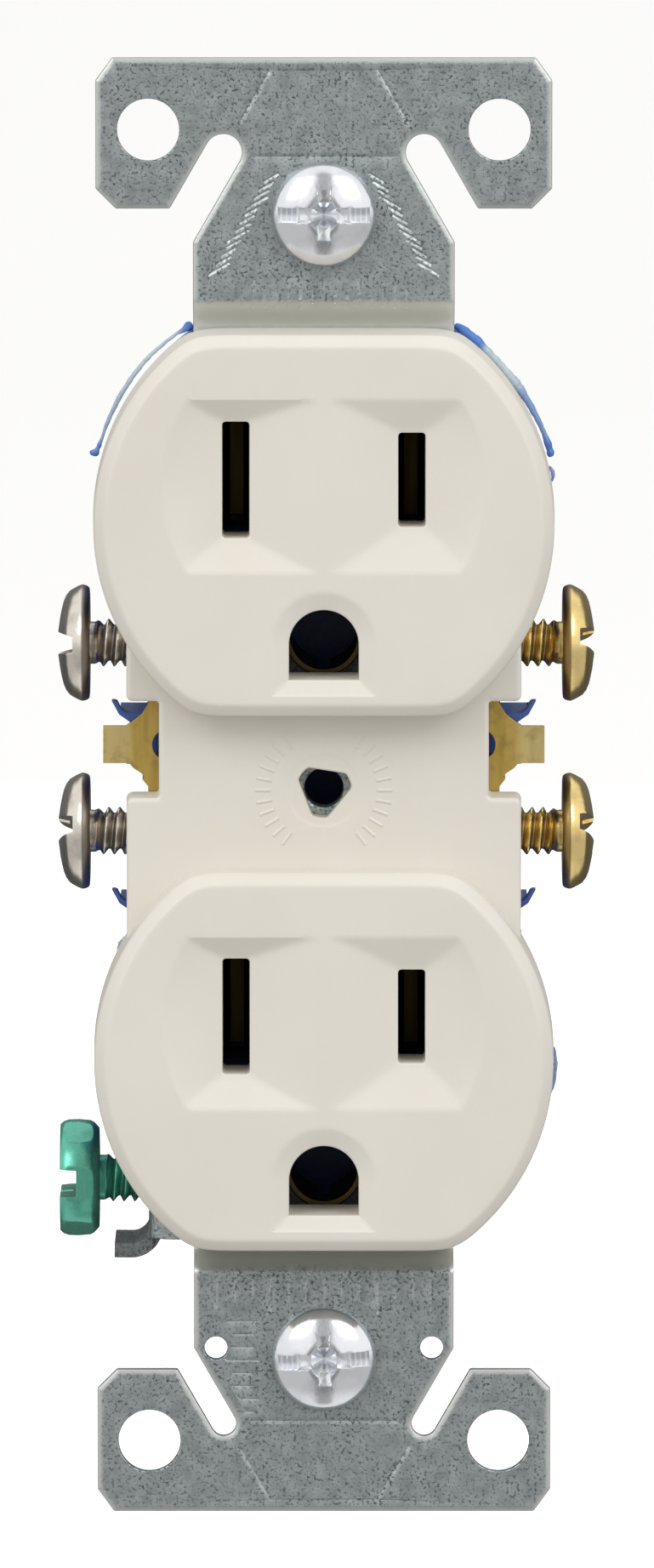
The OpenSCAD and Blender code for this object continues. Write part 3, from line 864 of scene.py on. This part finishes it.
def turned_screw(node, head, rod, axis, at, turn, rim=0.0):
    """Join a head and a shank, aim the head along an axis, and set its slot."""
    smooth(rod, 26)
    screw = joined(node + "_turned", [head, rod])
    aim = Vector(axis).to_track_quat("Z", "Y").to_matrix().to_4x4()
    spin = Matrix.Rotation(math.radians(turn), 4, "Z")
    screw.data.transform(Matrix.Translation(Vector(at) * MM) @ aim @ spin)
    valley_and_rim_shade(screw, at, axis, rim)
    return stand_in(screw, node)


def terminal_screw(node, side, seat_x, turn):
    head = lathe("head", [
        (0.3, -0.01), (1.5, -0.01), (1.8, 0.02), (3.8, 0.03), (4.02, 0.06), (4.16, 0.2),
        (4.23, 0.42), (4.25, 0.55), (4.24, 0.66), (4.15, 0.88), (3.98, 1.2), (3.8, 1.5),
        (3.45, 1.77), (3.03, 1.95), (2.5, 2.08), (1.9, 2.2), (0.9, 2.35), (0.2, 2.37)
    ])
    cross_recess(head, 2.33, 1.4, 1.75, 0.95)
    cut(head, prism("slot", box_outline(20, 2.0), 1.25, 3.2, 0.57))
    bevel(head, 0.06, 2, 38)
    smooth(head, 30)
    at = (side * seat_x, TERMINAL_Y, TERMINAL_Z[node[:5]])
    rod = shank(SIDE_LENGTH, CREST_R, 1.55, 0.25)
    return turned_screw(node, head, rod, (side, 0, 0), at, turn, 0.66)


def ground_screw():
    height = 2.9
    head = prism("hexagon", rounded(circle(0, 0, 4.72, 6), 0.5, 0.0, 4), 0.03, height)
    trim = lathe("trim", [
        (3.0, -0.4), (3.52, -0.06), (3.84, 0.2), (4.06, 0.42), (4.2, 0.68), (4.27, 1.5),
        (4.25, 2.3), (4.12, 2.65), (3.9, 2.9), (3.3, 3.0)
    ])
    boolean(head, trim, "INTERSECT")
    cross_recess(head, height, 1.5, 1.9, 1.0)
    head.data.transform(Matrix.Rotation(math.radians(90), 4, "Z"))
    slot = prism("slot", box_outline(20, 2.1), height - 1.2, height + 0.6, 0.9)
    cut(head, slot)
    bevel(head, 0.08, 2, 32)
    smooth(head, 30)
    rod = shank(SIDE_LENGTH, 1.78, 1.66, 0.3)
    return turned_screw("ground_screw", head, rod, (-1, 0, 0), GROUND_AT, 0)


def mounting_screw(node, z, turn):
    head = lathe("head", [
        (0.3, -0.02), (3.55, -0.02), (3.72, 0.05), (3.8, 0.2), (3.8, 0.6), (3.75, 0.84),
        (3.61, 1.1), (3.32, 1.4), (2.86, 1.69), (2.25, 1.94), (1.55, 2.13), (0.8, 2.25), (0.2, 2.3)
    ], 128)
    cross_recess(head, 2.25, 1.8, 1.97, 0.95)
    serrated_slot(head, 2.25, 1.0, 1.05, 4.2)
    bevel(head, 0.09, 2, 36)
    smooth(head, 32)
    rod = shank(MOUNTING_LENGTH, CREST_R, 1.5, 4.0)
    return turned_screw(node, head, rod, (0, -1, 0), (0, 0, z), turn)


def washer(node, z):
    """A punched fibre washer."""
    bm = bmesh.new()
    section = [(4.16, 2.66), (4.2, 2.78), (4.2, 3.26), (4.14, 3.38), (4.0, 3.4), (1.85, 3.4),
               (1.72, 3.34), (1.66, 3.2), (1.66, 2.75), (1.72, 2.62), (1.85, 2.6), (4.05, 2.6)]
    rings = [ring(bm, [(x, y, v + z) for x, v in circle(0, 0, r, 72)]) for r, y in section]
    skin(bm, rings + rings[:1])
    obj = new_object(node + "_punched", bm)
    smooth(obj, 50)
    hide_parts(node)
    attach(obj, node)
    return obj


# ---- parts that keep their CAD shape

def refined(node, name, width_mm, cutters=()):
    """A copy of a CAD node, cut by some solids, with its edges rounded, in its place."""
    bm = bmesh.new()
    bm.from_mesh(frame["nodes"][node].data)
    bmesh.ops.remove_doubles(bm, verts=bm.verts, dist=2e-6)
    bmesh.ops.dissolve_limit(bm, angle_limit=math.radians(0.8), verts=bm.verts, edges=bm.edges)
    obj = link_mesh(name, bm)
    for cutter in cutters:
        cut(obj, cutter)
    bevel(obj, width_mm, 2, 40)
    smooth(obj, 30)
    return stand_in(obj, node)


def ring_groove(x, z, outer, inner, depth):
    """A cutter for a round groove in the back."""
    tube = slab("ring", circle(x, z, outer), BACK_Y - depth, BACK_Y + 1)
    cut(tube, slab("core", circle(x, z, inner), BACK_Y - 1, BACK_Y + 2))
    return tube


def back_marks():
    """Cutters for the moulded details of the back: all plain shapes."""
    cutters = [ring_groove(x, z, 2.0, 1.62, 0.35)
               for x in (-PUSH_IN_X, PUSH_IN_X) for z in PUSH_IN_Z]
    cutters += [ring_groove(x, z, 1.75, 1.6, 0.1)
                for x, z in ((-6.5, 27), (6.5, 27), (-6.5, -20), (6.5, -20), (0, 5.5), (0, -8))]
    panel = rounded([(x, z + 20) for x, z in box_outline(15, 7)], 1.0)
    cutters.append(slab("panel", panel, BACK_Y - 0.2, BACK_Y + 1))
    for middle in (-13.0, -14.4):
        line = [(x, z + middle) for x, z in box_outline(13, 0.4)]
        cutters.append(slab("line", line, BACK_Y - 0.25, BACK_Y + 1))
    return cutters


def rear_moulding():
    """The rear body, with its waist cut on behind the strips and the details of its back."""
    cutters = back_marks()
    for side in (-1, 1):
        waist = [(12.7, -2.6), (16, -2.6), (16, 6.4), (12.7, 6.4)]
        cutters.append(slab("waist", [(side * x, z) for x, z in waist], 13.77, 21))
        for z in TERMINAL_Z.values():
            hook = [(12.85, -4.85), (14.1, -4.85), (14.5, -4.75), (14.8, -4.5), (14.95, -4.2),
                    (15.05, -4.0), (15.2, -3.92), (16.2, -3.9), (16.2, -2.8), (12.85, -2.8)]
            cutters.append(slab("hook", [(side * x, z + dz) for x, dz in hook], 3, 6.2))
            step = [(12.85, -4.9), (16.2, -4.9), (16.2, -2.8), (12.85, -2.8)]
            cutters.append(slab("step", [(side * x, z + dz) for x, dz in step], 6.0, 13.86))
    return refined("rear_body", "rear_moulding", 0.2, cutters)


def contact_stamping(side):
    """A contact strip, with its lower terminal plate cropped below the break-off tab."""
    sign = 1 if side == "hot" else -1
    crop = [(12.78, -0.15), (14.1, 1.5), (16.5, 1.5), (16.5, -1.7), (12.78, -1.7)]
    cutter = slab("crop", [(sign * x, z) for x, z in crop], 2.0, 13.5)
    return refined(side + "_contact_strip", side + "_contact_stamping", 0.1, [cutter])


def strand(bm, rng, centre, first, last, knots):
    """One string of flash round a face, between two angles.

    Each knot is (share of the way, distance out, half width, paleness).
    """
    shares = [k[0] for k in knots]
    count = max(12, int(abs(last - first) * 1.8))
    rings, pale = [], []
    for i in range(count + 1):
        t = i / count
        out, half, tint = (float(np.interp(t, shares, [k[j] for k in knots])) for j in (1, 2, 3))
        half *= 0.88 + 0.24 * rng.random()
        out += 0.05 * rng.random()
        a = math.radians(first + (last - first) * t)
        section = []
        for k in range(12):
            b = TAU * k / 12
            r = out + half * math.cos(b)
            section.append((r * math.cos(a), 2.7 + 1.3 * half * math.sin(b),
                            centre + r * math.sin(a)))
        rings.append(ring(bm, section))
        pale += [tint] * 12
    enclose(bm, rings)
    return pale


def weld_flash():
    """Threads and beads of blue plastic squeezed out along the welded joint."""
    rng = random.Random(7)
    bm = bmesh.new()
    bead, neck = 0.42, 0.12
    left = [(0, 17.0, bead * 0.6, 0), (0.025, 17.0, bead, 0), (0.07, 17.0, bead * 0.5, 0.2),
            (0.11, 17.1, neck, 0.8), (0.35, 17.25, 0.16, 0.9), (0.6, 17.2, 0.2, 0.75),
            (0.88, 17.1, neck, 0.6), (0.93, 17.1, 0.2, 0.1), (0.95, 17.15, neck, 0.2),
            (0.98, 17.3, bead, 0), (1, 17.3, bead * 0.6, 0)]
    right = [(0, 16.9, 0.2, 0), (0.04, 16.95, 0.34, 0), (0.2, 16.95, 0.36, 0.05),
             (0.24, 16.9, 0.3, 0.9), (0.4, 16.9, 0.3, 1), (0.52, 16.95, 0.42, 0.8),
             (0.6, 17.0, 0.3, 0.35), (0.86, 17.1, 0.18, 0.3), (0.92, 17.1, 0.3, 0),
             (0.95, 17.1, 0.2, 0), (0.98, 17.1, 0.33, 0), (1, 17.05, 0.2, 0)]
    thin = [(0, 16.75, 0.08, 0.3), (0.3, 16.9, 0.16, 0.5), (0.7, 16.9, 0.14, 0.4),
            (1, 16.75, 0.08, 0.1)]
    faint = [(0, 16.7, 0.06, 0.6), (0.5, 16.8, 0.12, 0.8), (1, 16.7, 0.06, 0.6)]
    pale = strand(bm, rng, FACE_Z, 124, 165, left)
    pale += strand(bm, rng, FACE_Z, 56, 15, right)
    for centre, first, last in ((FACE_Z, 13, 9), (-FACE_Z, 1, -12), (-FACE_Z, -30, -39),
                                (-FACE_Z, 40, 31)):
        pale += strand(bm, rng, centre, first, last, thin)
    pale += strand(bm, rng, -FACE_Z, 150, 154, faint)
    layer = bm.verts.layers.float.new("pale")
    for v, tint in zip(bm.verts, pale):
        v[layer] = tint
    obj = new_object("weld_flash", bm)
    mod = obj.modifiers.new("soften", "SUBSURF")
    mod.levels = 1
    apply_modifiers(obj)
    smooth(obj, 180)
    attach(obj, "housing")
    return obj


# ---- materials

class Tree:
    """A node tree, with short ways to add its nodes."""

    curve = "LINEAR"

    def __init__(self, owner, coordinate):
        owner.use_nodes = True
        self.nodes = owner.node_tree.nodes
        self.links = owner.node_tree.links
        self.place = self.nodes.new("ShaderNodeTexCoord").outputs[coordinate]

    def axes(self):
        node = self.nodes.new("ShaderNodeSeparateXYZ")
        self.links.new(self.place, node.inputs[0])
        return [node.outputs[axis] for axis in "XYZ"]

    def spread(self, source, low, high, out_low=0.0, out_high=1.0):
        """Map one range of values to another."""
        node = self.nodes.new("ShaderNodeMapRange")
        node.interpolation_type = self.curve
        for name, value in (("From Min", low), ("From Max", high),
                            ("To Min", out_low), ("To Max", out_high)):
            node.inputs[name].default_value = value
        self.links.new(source, node.inputs["Value"])
        return node.outputs["Result"]

    def math(self, operation, a, b=0):
        """Combine two values, each a number or a socket."""
        node = self.nodes.new("ShaderNodeMath")
        node.operation = operation
        for socket, value in zip(node.inputs, (a, b)):
            if isinstance(value, (int, float)):
                socket.default_value = value
            else:
                self.links.new(value, socket)
        return node.outputs[0]

    def plus(self, a, b):
        return self.math("ADD", a, b)

    def times(self, a, b):
        return self.math("MULTIPLY", a, b)


class Paint(Tree):
    """A node material for an object."""

    def __init__(self, name, roughness, metallic=0.0):
        self.mat = bpy.data.materials.new(name)
        super().__init__(self.mat, "Object")
        self.shader = self.nodes["Principled BSDF"]
        self.socket("Roughness", roughness)
        self.socket("Metallic", metallic)

    def socket(self, name, value):
        self.shader.inputs[name].default_value = value

    def link(self, source, name):
        self.links.new(source, self.shader.inputs[name])

    def stretched(self, scale):
        node = self.nodes.new("ShaderNodeMapping")
        node.inputs["Scale"].default_value = scale
        self.links.new(self.place, node.inputs["Vector"])
        return node.outputs["Vector"]

    def noise(self, size_mm, detail=3.0, vector=None, rough=0.55):
        """Soft noise with features of about the size given."""
        node = self.nodes.new("ShaderNodeTexNoise")
        node.inputs["Scale"].default_value = 1 / (size_mm * MM)
        node.inputs["Detail"].default_value = detail
        node.inputs["Roughness"].default_value = rough
        self.links.new(vector or self.place, node.inputs["Vector"])
        return node.outputs["Fac"]

    def blend(self, factor, a, b):
        """Colour between a and b, either of which may be a colour or a socket."""
        node = self.nodes.new("ShaderNodeMix")
        node.data_type = "RGBA"
        self.links.new(factor, node.inputs["Factor"])
        for index, value in ((6, a), (7, b)):
            if isinstance(value, tuple):
                node.inputs[index].default_value = (*value, 1)
            else:
                self.links.new(value, node.inputs[index])
        return node.outputs[2]

    def mottle(self, source, low, high, a, b):
        """A base colour that runs between two as the source rises."""
        self.link(self.blend(self.spread(source, low, high), a, b), "Base Color")

    def attribute(self, name):
        node = self.nodes.new("ShaderNodeAttribute")
        node.attribute_name = name
        return node.outputs["Fac"]

    def bump(self, height, depth_mm, strength=1.0):
        node = self.nodes.new("ShaderNodeBump")
        node.inputs["Distance"].default_value = depth_mm * MM
        node.inputs["Strength"].default_value = strength
        self.links.new(height, node.inputs["Height"])
        self.link(node.outputs["Normal"], "Normal")


def moulded(name, roughness, clouds, colors, grains, waves, depth_mm, glow):
    """A moulded plastic: clouded colour, fine grain and a slight waviness."""
    p = Paint(name, roughness[0])
    p.mottle(p.noise(*clouds), 0.3, 0.7, *colors)
    grain = p.noise(grains, 4.0)
    p.link(p.spread(grain, 0.3, 0.7, *roughness[1:]), "Roughness")
    size, weight = waves
    p.bump(p.plus(grain, p.times(p.noise(size, 2.0), weight)), depth_mm)
    p.socket("Subsurface Weight", glow[0])
    p.socket("Subsurface Radius", glow[1])
    return p


def ivory_plastic():
    p = moulded("ivory_plastic", (0.42, 0.36, 0.5), (9.0, 2.0),
                ((0.745, 0.712, 0.650), (0.722, 0.684, 0.616)),
                0.11, (1.6, 1.5), 0.006, (0.12, (0.0008, 0.0006, 0.0004)))
    p.socket("IOR", 1.49)
    return p.mat


def blue_plastic():
    return moulded("blue_plastic", (0.3, 0.26, 0.42), (6.0, 3.0),
                   ((0.040, 0.095, 0.370), (0.060, 0.130, 0.430)),
                   0.2, (2.4, 2.0), 0.012, (0.25, (0.0004, 0.0007, 0.0018))).mat


def flash_plastic():
    p = Paint("flash_plastic", 0.28)
    tint = p.times(p.attribute("pale"), p.spread(p.noise(0.6, 2.0), 0.3, 0.5, 0.8, 1.0))
    p.link(p.blend(tint, (0.07, 0.20, 0.60), (0.50, 0.58, 0.60)), "Base Color")
    p.bump(p.noise(0.4, 2.0), 0.03)
    p.socket("Subsurface Weight", 0.4)
    p.socket("Subsurface Radius", (0.0005, 0.0008, 0.0015))
    return p.mat


def galvanised():
    p = Paint("galvanised_steel", 0.42, 0.85)
    edge = p.attribute("edge")
    speck = p.spread(p.noise(0.25, 4.0, rough=0.66), 0.50, 0.60)
    drift = p.spread(p.noise(2.6, 3.0), 0.30, 0.60, 0.45, 1.0)
    keep = p.spread(p.plus(edge, p.spread(p.noise(0.5, 2.0), 0.3, 0.7, -0.15, 0.15)),
                    0.25, 0.6, 1.0, 0.0)
    dark = p.times(p.times(speck, drift), keep)
    patches = p.spread(p.noise(1.1, 3.0), 0.35, 0.65)
    base = p.blend(patches, (0.31, 0.345, 0.35), (0.43, 0.47, 0.47))
    pale = p.blend(p.spread(edge, 0.2, 0.8), base, (0.60, 0.62, 0.59))
    metal = p.blend(dark, pale, (0.085, 0.10, 0.105))
    # Painted shade: where the stored tone is negative, round the ground pin holes and on the ground
    # tab and lip, the strap is near-black.
    p.link(p.blend(p.spread(edge, -1.0, 0.0), (0.03, 0.03, 0.03), metal), "Base Color")
    p.link(p.plus(p.times(dark, 0.25), 0.38), "Roughness")
    p.bump(p.plus(p.times(dark, -0.8), p.noise(0.2, 3.0)), 0.012)
    p.link(p.spread(p.attribute("rear"), 0.0, 1.0, 0.85, 0.4), "Metallic")
    return p.mat


def plated(name, color, tarnish_and_shade, roughness, dirt_mm=1.4, metallic=1.0):
    """Bright plated metal with random stains, darker and duller in its thread valleys and on the
    heads' rims, where the darkening is painted shade.
    """
    p = Paint(name, roughness, metallic)
    stain = p.spread(p.noise(dirt_mm, 4.0), 0.46, 0.78)
    # Painted shade: thread valleys and head rims are darkened towards the tarnish colour, mixed
    # with real random stains.
    depth = p.times(p.attribute("valley_and_rim_shade"), 0.75)
    tone_mix = p.math("MAXIMUM", p.times(stain, 0.35), depth)
    p.link(p.blend(tone_mix, color, tarnish_and_shade), "Base Color")
    scratch = p.noise(0.12, 3.0, p.stretched((1.0, 1.0, 0.12)))
    p.link(p.plus(p.times(tone_mix, 0.28),
                  p.spread(scratch, 0.3, 0.7, roughness - 0.05, roughness + 0.07)), "Roughness")
    p.bump(p.plus(p.noise(0.7, 2.0), p.times(scratch, 0.12)), 0.02, 0.6)
    return p.mat


def sheet_brass():
    p = Paint("sheet_brass", 0.38, 0.9)
    streak = p.noise(0.5, 4.0, p.stretched((1.0, 1.0, 0.08)))
    across = p.math("ABSOLUTE", p.axes()[0])
    base = p.blend(p.spread(streak, 0.35, 0.65), (0.54, 0.375, 0.095), (0.64, 0.455, 0.13))
    # Painted light: the tabs' outer ends, out past the cover, are made lighter.
    base = p.blend(p.spread(across, 0.0138, 0.0144), base, (0.70, 0.56, 0.23))
    stain = p.spread(p.noise(1.1, 4.0), 0.50, 0.72)
    tone_mix = p.blend(p.times(stain, 0.5), base, (0.30, 0.20, 0.06))
    # Painted shade: brass within 8.6 mm of the middle, the contacts behind the slots and the ground
    # sleeves, is made near-black.
    p.link(p.blend(p.spread(across, 0.0086, 0.0092), (0.10, 0.07, 0.025), tone_mix), "Base Color")
    p.link(p.spread(streak, 0.3, 0.7, 0.32, 0.46), "Roughness")
    p.bump(streak, 0.006)
    return p.mat


def fibre():
    p = Paint("vulcanised_fibre", 0.75)
    strand = p.noise(0.25, 5.0, p.stretched((1.0, 0.25, 1.0)))
    p.mottle(strand, 0.35, 0.65, (0.21, 0.085, 0.045), (0.32, 0.15, 0.085))
    p.bump(strand, 0.03)
    return p.mat


def spring_steel():
    p = Paint("spring_steel", 0.3, 1.0)
    streak = p.noise(0.3, 4.0, p.stretched((0.15, 1.0, 1.0)))
    p.mottle(streak, 0.3, 0.7, (0.40, 0.42, 0.45), (0.55, 0.57, 0.60))
    p.link(p.spread(streak, 0.3, 0.7, 0.24, 0.38), "Roughness")
    return p.mat


def dress(obj, mat):
    obj.data.materials.clear()
    obj.data.materials.append(mat)


# ---- the whole object

def edge_share(obj):
    """Store a tone value for each of the strap's vertices: from 0 to 1, paler near its outline, on
    the bends and in the stamped marks; below 0, painted shade round the ground pin holes and on the
    ground tab and lip.
    """
    loop = strap_loop(0.0)
    pairs = [(Vector(a), Vector(b)) for a, b in zip(loop, loop[1:] + loop[:1])]
    starts = np.array([a for a, _ in pairs])
    runs = np.array([b - a for a, b in pairs])
    squares = np.maximum((runs ** 2).sum(1), 1e-9)
    marks = strap_marks()[6:]
    values = []
    for v in obj.data.vertices:
        point = np.array([v.co.x, v.co.z]) / MM
        off = point - starts
        t = np.clip((off * runs).sum(1) / squares, 0, 1)
        gap = np.sqrt(((off - runs * t[:, None]) ** 2).sum(1).min())
        bend = max(0.0, 1 - abs(abs(point[1]) - 34.3) / 1.4)
        # The lower bend gets less paleness than the upper one: painted shade for the shadow under
        # the lower face.
        bend *= 0.85 if point[1] > 0 else 0.5
        tone_mix = max(0.0, 0.85 - gap / 0.75, min(0.85, 2.0 * bend))
        if mark_height(marks, *point) > 0.01:
            tone_mix = max(tone_mix, 0.42)
        # Painted shade: near-black round the ground pin holes, where they are seen through the
        # cover's ground holes.
        from_pin = min(math.hypot(point[0], point[1] - z) for z in PIN_Z)
        if from_pin < 4.2:
            tone_mix = -min(1.0, (4.2 - from_pin) / 0.6)
        # Painted shade: the ground tab and its lip, set back behind the strap's front, are
        # darkened.
        values.append(-0.5 if v.co.y > 2.5 * MM else tone_mix)
    store(obj, "edge", values)
    store(obj, "rear", [float(v.co.y / MM - joggle(v.co.z / MM) > STRAP_T / 2)
                        for v in obj.data.vertices])


def build_object():
    dress(build_cover(), ivory_plastic())
    strap = build_strap()
    edge_share(strap)
    dress(strap, galvanised())
    dress(rear_moulding(), blue_plastic())
    dress(weld_flash(), flash_plastic())

    brass = sheet_brass()
    for side in ("hot", "neutral"):
        dress(contact_stamping(side), brass)
    for end, z in (("upper", SCREW_Z), ("lower", -SCREW_Z)):
        sleeve = refined(end + "_ground_contact", end + "_ground_sleeve", 0.1)
        dress(sleeve, brass)
        for side in ("hot", "neutral"):
            node = f"{end}_{side}_wire_clip"
            dress(refined(node, node + "_leaf", 0.08), spring_steel())
        dress(washer(end + "_retaining_washer", z), fibre())

    zinc = plated("bright_zinc", (0.80, 0.82, 0.86), (0.42, 0.44, 0.46), 0.14, 2.2)
    dress(refined("ground_contact_rivets", "rivet_pair", 0.12), zinc)
    for node, z, turn in (("upper_mounting_screw", SCREW_Z, 0),
                          ("lower_mounting_screw", -SCREW_Z, 3)):
        dress(mounting_screw(node, z, turn), zinc)

    yellow = plated("brass_plate", (0.88, 0.68, 0.29), (0.20, 0.10, 0.03), 0.18)
    nickel = plated("nickel_plate", (0.72, 0.67, 0.60), (0.13, 0.10, 0.08), 0.18)
    green = plated("green_dye", (0.14, 0.52, 0.39), (0.02, 0.12, 0.07), 0.28, metallic=0.75)
    for node, turn in (("upper_hot_screw", -12), ("lower_hot_screw", -16)):
        dress(terminal_screw(node, 1, HOT_SEAT_X, turn), yellow)
    for node, turn in (("upper_neutral_screw", 3), ("lower_neutral_screw", 13)):
        dress(terminal_screw(node, -1, NEUTRAL_SEAT_X, turn), nickel)
    dress(ground_screw(), green)


# ---- stage, light and camera

# Millimetres, and strengths of light.
VIEW_HEIGHT = 113.7
SENSOR = 36
CAMERA_DISTANCE = 1050
CAMERA_ELEVATION = math.radians(5.5)
AIM_X = 0.23
AIM_Z = 0.3
FLOOR_Z = -120
FLOOR_R = 12000
LOW_LIGHT = 0.6
HIGH_LIGHT = 1.05
GAP_LIGHT = 0.45
BACK_LIGHT = 0.17


def build_world():
    """A white studio: bright above and to both sides, with a dim gap behind the camera."""
    world = bpy.data.worlds.new("studio")
    bpy.context.scene.world = world
    sky = Tree(world, "Generated")
    sky.curve = "SMOOTHSTEP"
    spread, times = sky.spread, sky.times
    nodes, links = sky.nodes, sky.links
    x, y, z = sky.axes()
    base = sky.plus(spread(z, -0.20, 0.12, LOW_LIGHT, HIGH_LIGHT),
                    spread(z, -0.92, -0.62, 0.30, 0.0))
    middle = spread(sky.math("ABSOLUTE", x), 0.06, 0.26, 1.0, 0.0)
    gap = times(middle, times(spread(y, -0.35, 0.0, 1.0, 0.0), spread(z, 0.84, 0.93, 1.0, 0.0)))
    dim = spread(gap, 0.0, 1.0, 1.0, GAP_LIGHT)
    behind = times(spread(y, 0.15, 0.5, 0.0, 1.0), spread(z, 0.5, 0.75, 1.0, 0.0))
    dim = times(dim, spread(behind, 0.0, 1.0, 1.0, BACK_LIGHT))
    room = nodes["Background"]
    room.inputs["Color"].default_value = (1.0, 0.995, 0.98, 1)
    links.new(times(base, dim), room.inputs["Strength"])

    white = nodes.new("ShaderNodeBackground")
    white.inputs["Color"].default_value = (1, 1, 1, 1)
    white.inputs["Strength"].default_value = 1.05
    seen = nodes.new("ShaderNodeLightPath").outputs["Is Camera Ray"]
    choice = nodes.new("ShaderNodeMixShader")
    links.new(seen, choice.inputs["Fac"])
    links.new(room.outputs[0], choice.inputs[1])
    links.new(white.outputs[0], choice.inputs[2])
    links.new(choice.outputs[0], nodes["World Output"].inputs["Surface"])


def build_floor():
    """A wide pale floor, well below the object."""
    bm = bmesh.new()
    bm.faces.new(ring(bm, [(x, y, FLOOR_Z) for x, y in circle(0, 0, FLOOR_R, 96)]))
    floor = new_object("floor", bm)
    p = Paint("floor_paper", 0.9)
    p.link(p.blend(p.noise(400, 2.0), (0.93, 0.93, 0.925), (0.95, 0.95, 0.945)), "Base Color")
    p.socket("Emission Color", (1, 1, 1, 1))
    p.socket("Emission Strength", 0.15)
    floor.data.materials.append(p.mat)
    floor.visible_glossy = False
    floor.visible_diffuse = False


def build_camera():
    data = bpy.data.cameras.new("camera")
    data.sensor_width = SENSOR
    data.lens = SENSOR * CAMERA_DISTANCE / VIEW_HEIGHT
    data.clip_end = 40
    cam = bpy.data.objects.new("camera", data)
    distance = CAMERA_DISTANCE * MM
    cam.location = (AIM_X * MM, -distance * math.cos(CAMERA_ELEVATION),
                    distance * math.sin(CAMERA_ELEVATION) + AIM_Z * MM)
    cam.rotation_euler = (math.pi / 2 - CAMERA_ELEVATION, 0, 0)
    bpy.context.scene.collection.objects.link(cam)
    bpy.context.scene.camera = cam


def area_light(name, location, size, power):
    """A rectangular light that points at the object's centre."""
    data = bpy.data.lights.new(name, "AREA")
    data.shape = "RECTANGLE"
    data.size, data.size_y = size
    data.energy = power
    obj = bpy.data.objects.new(name, data)
    obj.location = location
    obj.rotation_euler = (-Vector(location)).to_track_quat("-Z", "Y").to_euler()
    obj.visible_camera = False
    bpy.context.scene.collection.objects.link(obj)
    return obj


def build_stage():
    build_world()
    build_floor()
    build_camera()
    for name, x in (("key_left", -0.50), ("key_right", 0.50)):
        area_light(name, (x, -0.62, 0.58), (0.45, 0.5), 2.0)
    back = area_light("back", (0.1, 0.9, 0.5), (0.9, 0.9), 6.0)
    back.visible_glossy = False
    bpy.context.scene.view_settings.view_transform = "Standard"


build_object()
build_stage()
